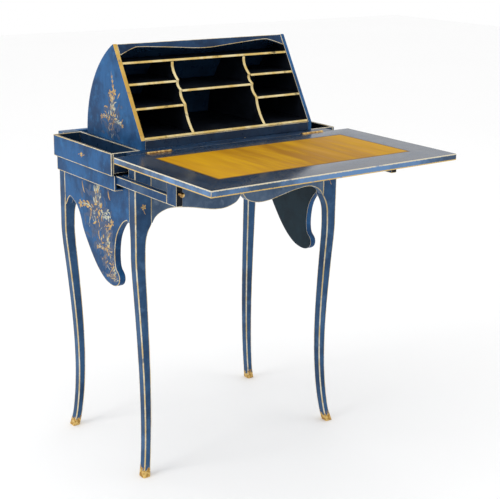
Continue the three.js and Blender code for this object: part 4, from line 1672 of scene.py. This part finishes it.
@dataclass
class Strokes:
    """Batch of brush strokes on one flat face.

    A stroke's heading turns evenly along its length, and its width swells and tapers as a
    sine. Its section is a low ridge, so that it catches the light like thick paint.

    Attributes:
        origin: point from which places on the face are measured.
        across: first direction on the face.
        up: second direction on the face.
        limits: outline of the face, or None where the strokes need no limit.
        height: height of a stroke's ridge.
        clear: least distance of a stroke from the outline.
        steps: points along a stroke.
        rows: strokes so far, as arrays of place, heading, length, turn, width and tone.
    """

    origin: np.ndarray
    across: np.ndarray
    up: np.ndarray
    limits: np.ndarray | None = None
    height: float = 0.14 * MM
    clear: float = 4 * MM
    steps: int = 14
    rows: list[np.ndarray] = field(default_factory=list)

    def add(self, start: np.ndarray, heading: np.ndarray, length: np.ndarray, turn: np.ndarray,
            width: np.ndarray, tone: Tone) -> np.ndarray:
        """Adds strokes.

        Args:
            start: places of their roots, one row each, in metres on the face.
            heading: first headings in radians.
            length: lengths.
            turn: angles turned from root to tip.
            width: greatest widths.
            tone: tone of all of them.

        Returns:
            Points along the middle of each stroke.
        """
        start = np.atleast_2d(start).astype(float)
        count = len(start)
        values = [np.broadcast_to(np.asarray(value, float), (count,))
                  for value in (heading, length, turn, width)]
        row = np.column_stack([start, *values, np.full(count, tone.value)])
        path = self.paths(row)
        self.rows.append(row[self.fits(path)])
        return path

    def fits(self, path: np.ndarray) -> np.ndarray:
        """Tells which strokes stay on the face.

        A point is on the face when a ray from it crosses the outline an odd number of times
        and when it is far enough from the outline.

        Args:
            path: middle lines of the strokes.

        Returns:
            True for each stroke with all its points on the face.
        """
        if self.limits is None:
            return np.ones(len(path), bool)
        a, b = self.limits, np.roll(self.limits, -1, 0)
        p = path[:, :, None]
        edge, rel = b - a, p - a
        share = np.clip((rel * edge).sum(-1) / (edge ** 2).sum(-1), 0, 1)
        away = np.linalg.norm(rel - share[..., None] * edge, axis=-1).min(-1)
        rise = np.where(edge[:, 1] == 0, 1e-12, edge[:, 1])
        crosses = ((a[:, 1] > p[..., 1]) != (b[:, 1] > p[..., 1])) & (
            p[..., 0] < a[:, 0] + rel[..., 1] / rise * edge[:, 0])
        return np.all((crosses.sum(-1) % 2 == 1) & (away > self.clear), axis=1)

    def paths(self, row: np.ndarray) -> np.ndarray:
        """Middle lines: the sum of short steps whose heading turns evenly.

        Args:
            row: strokes, one row each.

        Returns:
            The lines, as an array of strokes by points by two.
        """
        share = np.linspace(0, 1, self.steps)
        angle = row[:, 2:3] + row[:, 4:5] * (share - 0.5 / self.steps)
        step = row[:, 3:4] / (self.steps - 1)
        moves = np.stack([np.cos(angle), np.sin(angle)], -1) * step[..., None]
        moves[:, 0] = 0
        return row[:, None, :2] + np.cumsum(moves, 1)

    def leaves(self, path: np.ndarray, places: Sequence[float], length: float, width: float,
               tone: Tone, angle: float = 0.9) -> None:
        """Pairs of leaves along a stem.

        Args:
            path: middle line of the stem.
            places: shares of its length.
            length: length of the largest leaf.
            width: its width.
            tone: tone of the leaves.
            angle: angle from the stem.
        """
        index = (np.asarray(places) * (self.steps - 2)).astype(int)
        heading = np.arctan2(*(path[index + 1] - path[index]).T[::-1])
        size = length * (1 - 0.45 * np.asarray(places))
        for sign in (-1, 1):
            self.add(path[index], heading + sign * angle, size, -sign * 1.1, width * size / length,
                     tone)

    def flower(self, centre: Sequence[float], radius: float, petals: int,
               turn: float = 0.5) -> None:
        """Ochre rosette of petals round a small straw eye.

        Args:
            centre: place of the eye.
            radius: length of a petal.
            petals: number of petals.
            turn: heading of the first petal, and how far each one bends.
        """
        angle = np.arange(petals) * 2 * math.pi / petals + turn
        start = np.asarray(centre) + 0.16 * radius * np.stack([np.cos(angle), np.sin(angle)], 1)
        self.add(start, angle, radius, turn, radius * 0.62, Tone.OCHRE)
        self.add(np.asarray(centre) - [radius * 0.14, 0], 0.0, radius * 0.28, 0.0, radius * 0.3,
                 Tone.STRAW)

    def build(self, name: str) -> bpy.types.Object:
        """Builds all the strokes as one mesh of closed ridges.

        Args:
            name: name of the piece.

        Returns:
            The new piece, with the tone on its points.
        """
        row = np.concatenate(self.rows)
        path = self.paths(row)
        along = np.gradient(path, axis=1)
        along /= np.linalg.norm(along, axis=-1, keepdims=True)
        sideways = np.stack([-along[..., 1], along[..., 0]], -1)
        share = np.linspace(0.02, 0.98, self.steps)
        half = (row[:, 5:6] / 2 * np.sin(math.pi * share) ** 0.75)[..., None]
        normal = np.cross(self.across, self.up)
        lift = np.array([0.0, 1.0, 0.0, -1.0]) * self.height
        shift = np.array([-1.0, 0.0, 1.0, 0.0])
        flat = path[:, :, None] + sideways[:, :, None] * half[:, :, None] * shift[:, None]
        rise = lift * np.sin(math.pi * share)[:, None]
        points = (self.origin + flat[..., :1] * self.across + flat[..., 1:] * self.up
                  + rise[None, ..., None] * normal)
        per_stroke = self.steps * 4
        faces = [f for k in range(len(row)) for f in tube_faces(self.steps, 4, k * per_stroke)]
        tones = np.repeat(row[:, 6], per_stroke)
        return to_object(name, points.reshape(-1, 3), faces, {"tone": tones})


@dataclass
class Ornament:
    """Painted sprays, small flowers and scrolls.

    Attributes:
        seed: seed of the small variations.
        washes: tone, number and width of the loose strokes in a bouquet.
        stems: first heading and bend of each stem in a bouquet.
        bouquets: place across, place up and size of the side board's bouquets, in
            millimetres from a point over the board's lower edge.
        leg_flower: height of the flower on a front leg.
        scroll_height: height at which the apron's scrolls start.
    """

    seed: int = 7
    washes: tuple[tuple[Tone, int, float], ...] = (
        (Tone.NAVY, 110, 0.09), (Tone.OCHRE, 22, 0.045), (Tone.STRAW, 14, 0.03))
    stems: tuple[tuple[float, float], ...] = (
        (1.9, -0.9), (1.45, 0.5), (1.0, 1.2), (2.5, 1.0), (0.5, -1.1))
    bouquets: tuple[Triple, ...] = ((12, 150, 150), (-34, 70, 90), (-60, 14, 60))
    leg_flower: float = 630 * MM
    scroll_height: float = 645 * MM

    def side_strokes(self, node: str, sign: float) -> Strokes:
        """Empty batch on the outer face of a node, with u along Y and v up.

        On the left side u runs to the front, so that the strokes rise outwards.

        Args:
            node: CAD node.
            sign: -1 on the left and 1 on the right.

        Returns:
            The batch.
        """
        low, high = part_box(node)
        x = high.x if sign > 0 else low.x
        outline = end_outline(node, YZ)[0] * np.array([sign, 1.0])
        return Strokes(np.array([x, 0.0, 0.0]), np.array([0.0, sign, 0.0]), AXIS[2], outline)

    def bouquet(self, strokes: Strokes, centre: tuple[float, float], size: float,
                rng: np.random.Generator) -> None:
        """Loose bouquet: dark foliage behind, ochre flowers and thin straw tendrils.

        Args:
            strokes: batch that it is added to.
            centre: root of the bouquet on the face.
            size: its height in metres.
            rng: seeded source of small variations.
        """
        root = np.asarray(centre, float)
        for tone, count, wide in self.washes:
            spots = root + rng.normal(0, [size * 0.2, size * 0.26], (count, 2))
            heading = rng.uniform(0.3, 2.8, count)
            length = rng.uniform(0.1, 0.22, count) * size
            turn = rng.uniform(-1.6, 1.6, count)
            width = rng.uniform(0.5, 1.0, count) * wide * size
            strokes.add(spots, heading, length, turn, width, tone)
        for k, (angle, bend) in enumerate(self.stems):
            path = strokes.add(root, angle, size * (0.75 - 0.07 * k), bend, size * 0.024,
                               Tone.STRAW)[0]
            strokes.leaves(path, (0.3, 0.55, 0.8), size * 0.16, size * 0.055,
                           Tone.OCHRE if k % 2 else Tone.STRAW)
            strokes.flower(path[-1], size * (0.09 - 0.01 * k), 5)
        strokes.flower(root + [size * 0.04, size * 0.12], size * 0.13, 6)

    def nest_spray(self, side: str, sign: float, rng: np.random.Generator) -> Strokes:
        """Bouquet with a tall stem on the nest's side.

        Args:
            side: name of the side.
            sign: -1 on the left and 1 on the right.
            rng: seeded source of small variations.

        Returns:
            The strokes.
        """
        low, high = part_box(f"nest_side_{side}")
        strokes = self.side_strokes(f"nest_side_{side}", sign)
        middle = low.y + (high.y - low.y) * 0.5
        self.bouquet(strokes, (sign * (middle + 10 * MM), low.z + 75 * MM), 95 * MM, rng)
        foot = np.array([sign * (middle + 5 * MM), low.z + 120 * MM])
        stem = strokes.add(foot, 1.5, 70 * MM, 0.4, 1.6 * MM, Tone.OCHRE)[0]
        strokes.leaves(stem, (0.1, 0.3, 0.5, 0.7, 0.9), 12 * MM, 3.4 * MM, Tone.OCHRE)
        return strokes

    def board_spray(self, side: str, sign: float, rng: np.random.Generator) -> Strokes:
        """Three bouquets that follow the scroll of the side board.

        Args:
            side: name of the side.
            sign: -1 on the left and 1 on the right.
            rng: seeded source of small variations.

        Returns:
            The strokes.
        """
        low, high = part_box(f"side_board_{side}")
        strokes = self.side_strokes(f"side_board_{side}", sign)
        middle = low.y + (high.y - low.y) * 0.44
        for across, up, size in self.bouquets:
            centre = (sign * (middle + across * MM), low.z + up * MM)
            self.bouquet(strokes, centre, size * MM, rng)
        return strokes

    def well_flower(self, side: str, sign: float) -> Strokes:
        """Flower with a stroke on each side, on the well's outer wall.

        Args:
            side: name of the side.
            sign: -1 on the left and 1 on the right.

        Returns:
            The strokes.
        """
        low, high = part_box(f"well_outer_wall_{side}")
        strokes = self.side_strokes(f"well_outer_wall_{side}", sign)
        spot = np.array([sign * (low.y + high.y) / 2, (low.z + high.z) / 2])
        strokes.flower(spot, 5.5 * MM, 6)
        for turn in (0.0, math.pi):
            strokes.add(spot + [7 * MM * math.cos(turn), 0], turn, 9 * MM, 0.6, 1.8 * MM, Tone.OCHRE)
        return strokes

    def leg_strokes(self, side: str, sign: float) -> Strokes:
        """Flower with a stalk on the head of a front leg.

        Args:
            side: name of the side.
            sign: -1 on the left and 1 on the right.

        Returns:
            The strokes.
        """
        low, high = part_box(f"leg_front_{side}")
        strokes = Strokes(np.array([0.0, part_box("front_apron")[0].y, 0.0]), AXIS[0], AXIS[2])
        spot = np.array([sign * (abs(low.x) + abs(high.x)) / 2, self.leg_flower])
        strokes.flower(spot, 6 * MM, 5)
        strokes.add(spot - [0, 6 * MM], -1.4, 12 * MM, 0.5, 1.6 * MM, Tone.OCHRE)
        return strokes

    def apron_scrolls(self, stems: int = 6) -> Strokes:
        """Vine on the apron that runs from the middle to both sides in alternating bends.

        Each stem starts where the one before it ends, with its heading, and bends the
        other way.

        Args:
            stems: number of stems on each side.

        Returns:
            The strokes.
        """
        strokes = Strokes(np.array([0.0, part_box("front_apron")[0].y, 0.0]), AXIS[0], AXIS[2],
                          end_outline("front_apron", XZ)[0][:, ::-1])
        for sign in (-1.0, 1.0):
            start = np.array([sign * 25 * MM, self.scroll_height])
            heading = -0.6 if sign > 0 else math.pi + 0.6
            for k in range(stems):
                turn = sign * (-1.5 if k % 2 else 1.5)
                path = strokes.add(start, heading, 32 * MM, turn, 1.6 * MM, Tone.STRAW)[0]
                strokes.add(path[9], heading + 0.6 * turn, 17 * MM, turn * 2.2, 1.3 * MM, Tone.OCHRE)
                strokes.leaves(path, (0.25, 0.75), 9 * MM, 2.6 * MM, Tone.STRAW)
                start = path[-1]
                heading += turn
        return strokes

    def make(self) -> None:
        """Builds and dresses the ornaments."""
        paint = Brushwork("painted sprays").surface()
        for side, sign in SIDES:
            rng = np.random.default_rng(self.seed)
            for name, body, strokes in (
                    (f"painted_spray_nest_{side}", "nest", self.nest_spray(side, sign, rng)),
                    (f"painted_spray_side_{side}", "case", self.board_spray(side, sign, rng)),
                    (f"painted_flower_well_{side}", "case", self.well_flower(side, sign)),
                    (f"painted_flower_leg_{side}", "case", self.leg_strokes(side, sign))):
                dress(strokes.build(name), body, Slot.BLUE, paint)
        dress(self.apron_scrolls().build("painted_scrolls_apron"), "case", Slot.BLUE, paint)


# ---------------------------------------------------------------- studio
@dataclass
class Studio:
    """Camera, floor, lights and sky.

    Attributes:
        eye: place of the camera.
        yaw: its turn to the right of +Y, in degrees.
        pitch: its turn down, in degrees.
        roll: its turn about its own axis, in degrees.
        lens: focal length in millimetres.
        sensor: width of the sensor in millimetres.
        aim: point that the lamps look at.
        reach: half the width of the floor.
        depth: thickness of the floor.
        lamps: name, place, size and power in watts of each lamp.
    """

    eye: Triple = (-1.4878, -2.0411, 1.2360)
    yaw: float = 36.55
    pitch: float = 16.38
    roll: float = 0.884
    lens: float = 82.27
    sensor: float = 36.0
    aim: Triple = (0.0, 0.0, 0.6)
    reach: float = 9.0
    depth: float = 0.02
    lamps: tuple[tuple[str, Triple, float, float], ...] = (
        ("key", (-3.0, 0.2, 2.6), 1.6, 34.0), ("fill", (2.6, -1.6, 2.6), 2.0, 8.0))

    def camera(self) -> None:
        """Camera with its three turns: about the vertical, down, and about its own axis."""
        data = bpy.data.cameras.new("camera")
        data.lens, data.sensor_width = self.lens, self.sensor
        data.clip_start, data.clip_end = 0.05, 60.0
        camera = bpy.data.objects.new("camera", data)
        turn = (Matrix.Rotation(math.radians(-self.yaw), 4, "Z")
                @ Matrix.Rotation(math.radians(90 - self.pitch), 4, "X")
                @ Matrix.Rotation(math.radians(self.roll), 4, "Z"))
        camera.matrix_world = Matrix.Translation(self.eye) @ turn
        bpy.context.scene.collection.objects.link(camera)
        bpy.context.scene.camera = camera

    def lamp(self, name: str, place: Triple, size: float, power: float) -> None:
        """Square soft light that looks at the middle of the table.

        Args:
            name: name of the lamp.
            place: its place.
            size: its width.
            power: its power in watts.
        """
        data = bpy.data.lights.new(name, "AREA")
        data.size, data.energy = size, power
        lamp = bpy.data.objects.new(name, data)
        lamp.location = place
        aim = Vector(self.aim) - Vector(place)
        lamp.rotation_euler = aim.to_track_quat("-Z", "Y").to_euler()
        bpy.context.scene.collection.objects.link(lamp)

    def floor(self) -> None:
        """Plain pale floor: a thin square slab whose top is at 0."""
        corners = np.array([[-1, -1], [1, -1], [1, 1], [-1, 1]]) * self.reach
        points = np.concatenate([np.column_stack([corners, np.full(4, z)])
                                 for z in (-self.depth, 0.0)])
        floor = to_object("floor", points, tube_faces(2, 4))
        graph = Graph("pale floor")
        colour = graph.mix(graph.noise(0.7, 2.0), (0.955, 0.955, 0.955), (0.975, 0.975, 0.975))
        floor.data.materials.append(graph.finish(colour, 0.8))

    def sky(self) -> None:
        """White sky of even light."""
        world = bpy.data.worlds.new("studio sky")
        world.use_nodes = True
        background = world.node_tree.nodes["Background"]
        background.inputs["Color"].default_value = (1.0, 1.0, 1.0, 1.0)
        background.inputs["Strength"].default_value = 1.0
        bpy.context.scene.world = world

    def make(self) -> None:
        """Builds the studio."""
        self.camera()
        self.floor()
        self.sky()
        for lamp in self.lamps:
            self.lamp(*lamp)
        bpy.context.scene.view_settings.view_transform = "Standard"


def main() -> None:
    """Builds the sub-assemblies in order."""
    logging.basicConfig(level=logging.INFO, format="%(message)s")
    Studio().make()
    for part in (Legs(), Carcass(), Flap(), Hinges(), Wells(), Lopers(), Nest(), Ornament()):
        part.make()


if __name__ == "__main__":
    main()
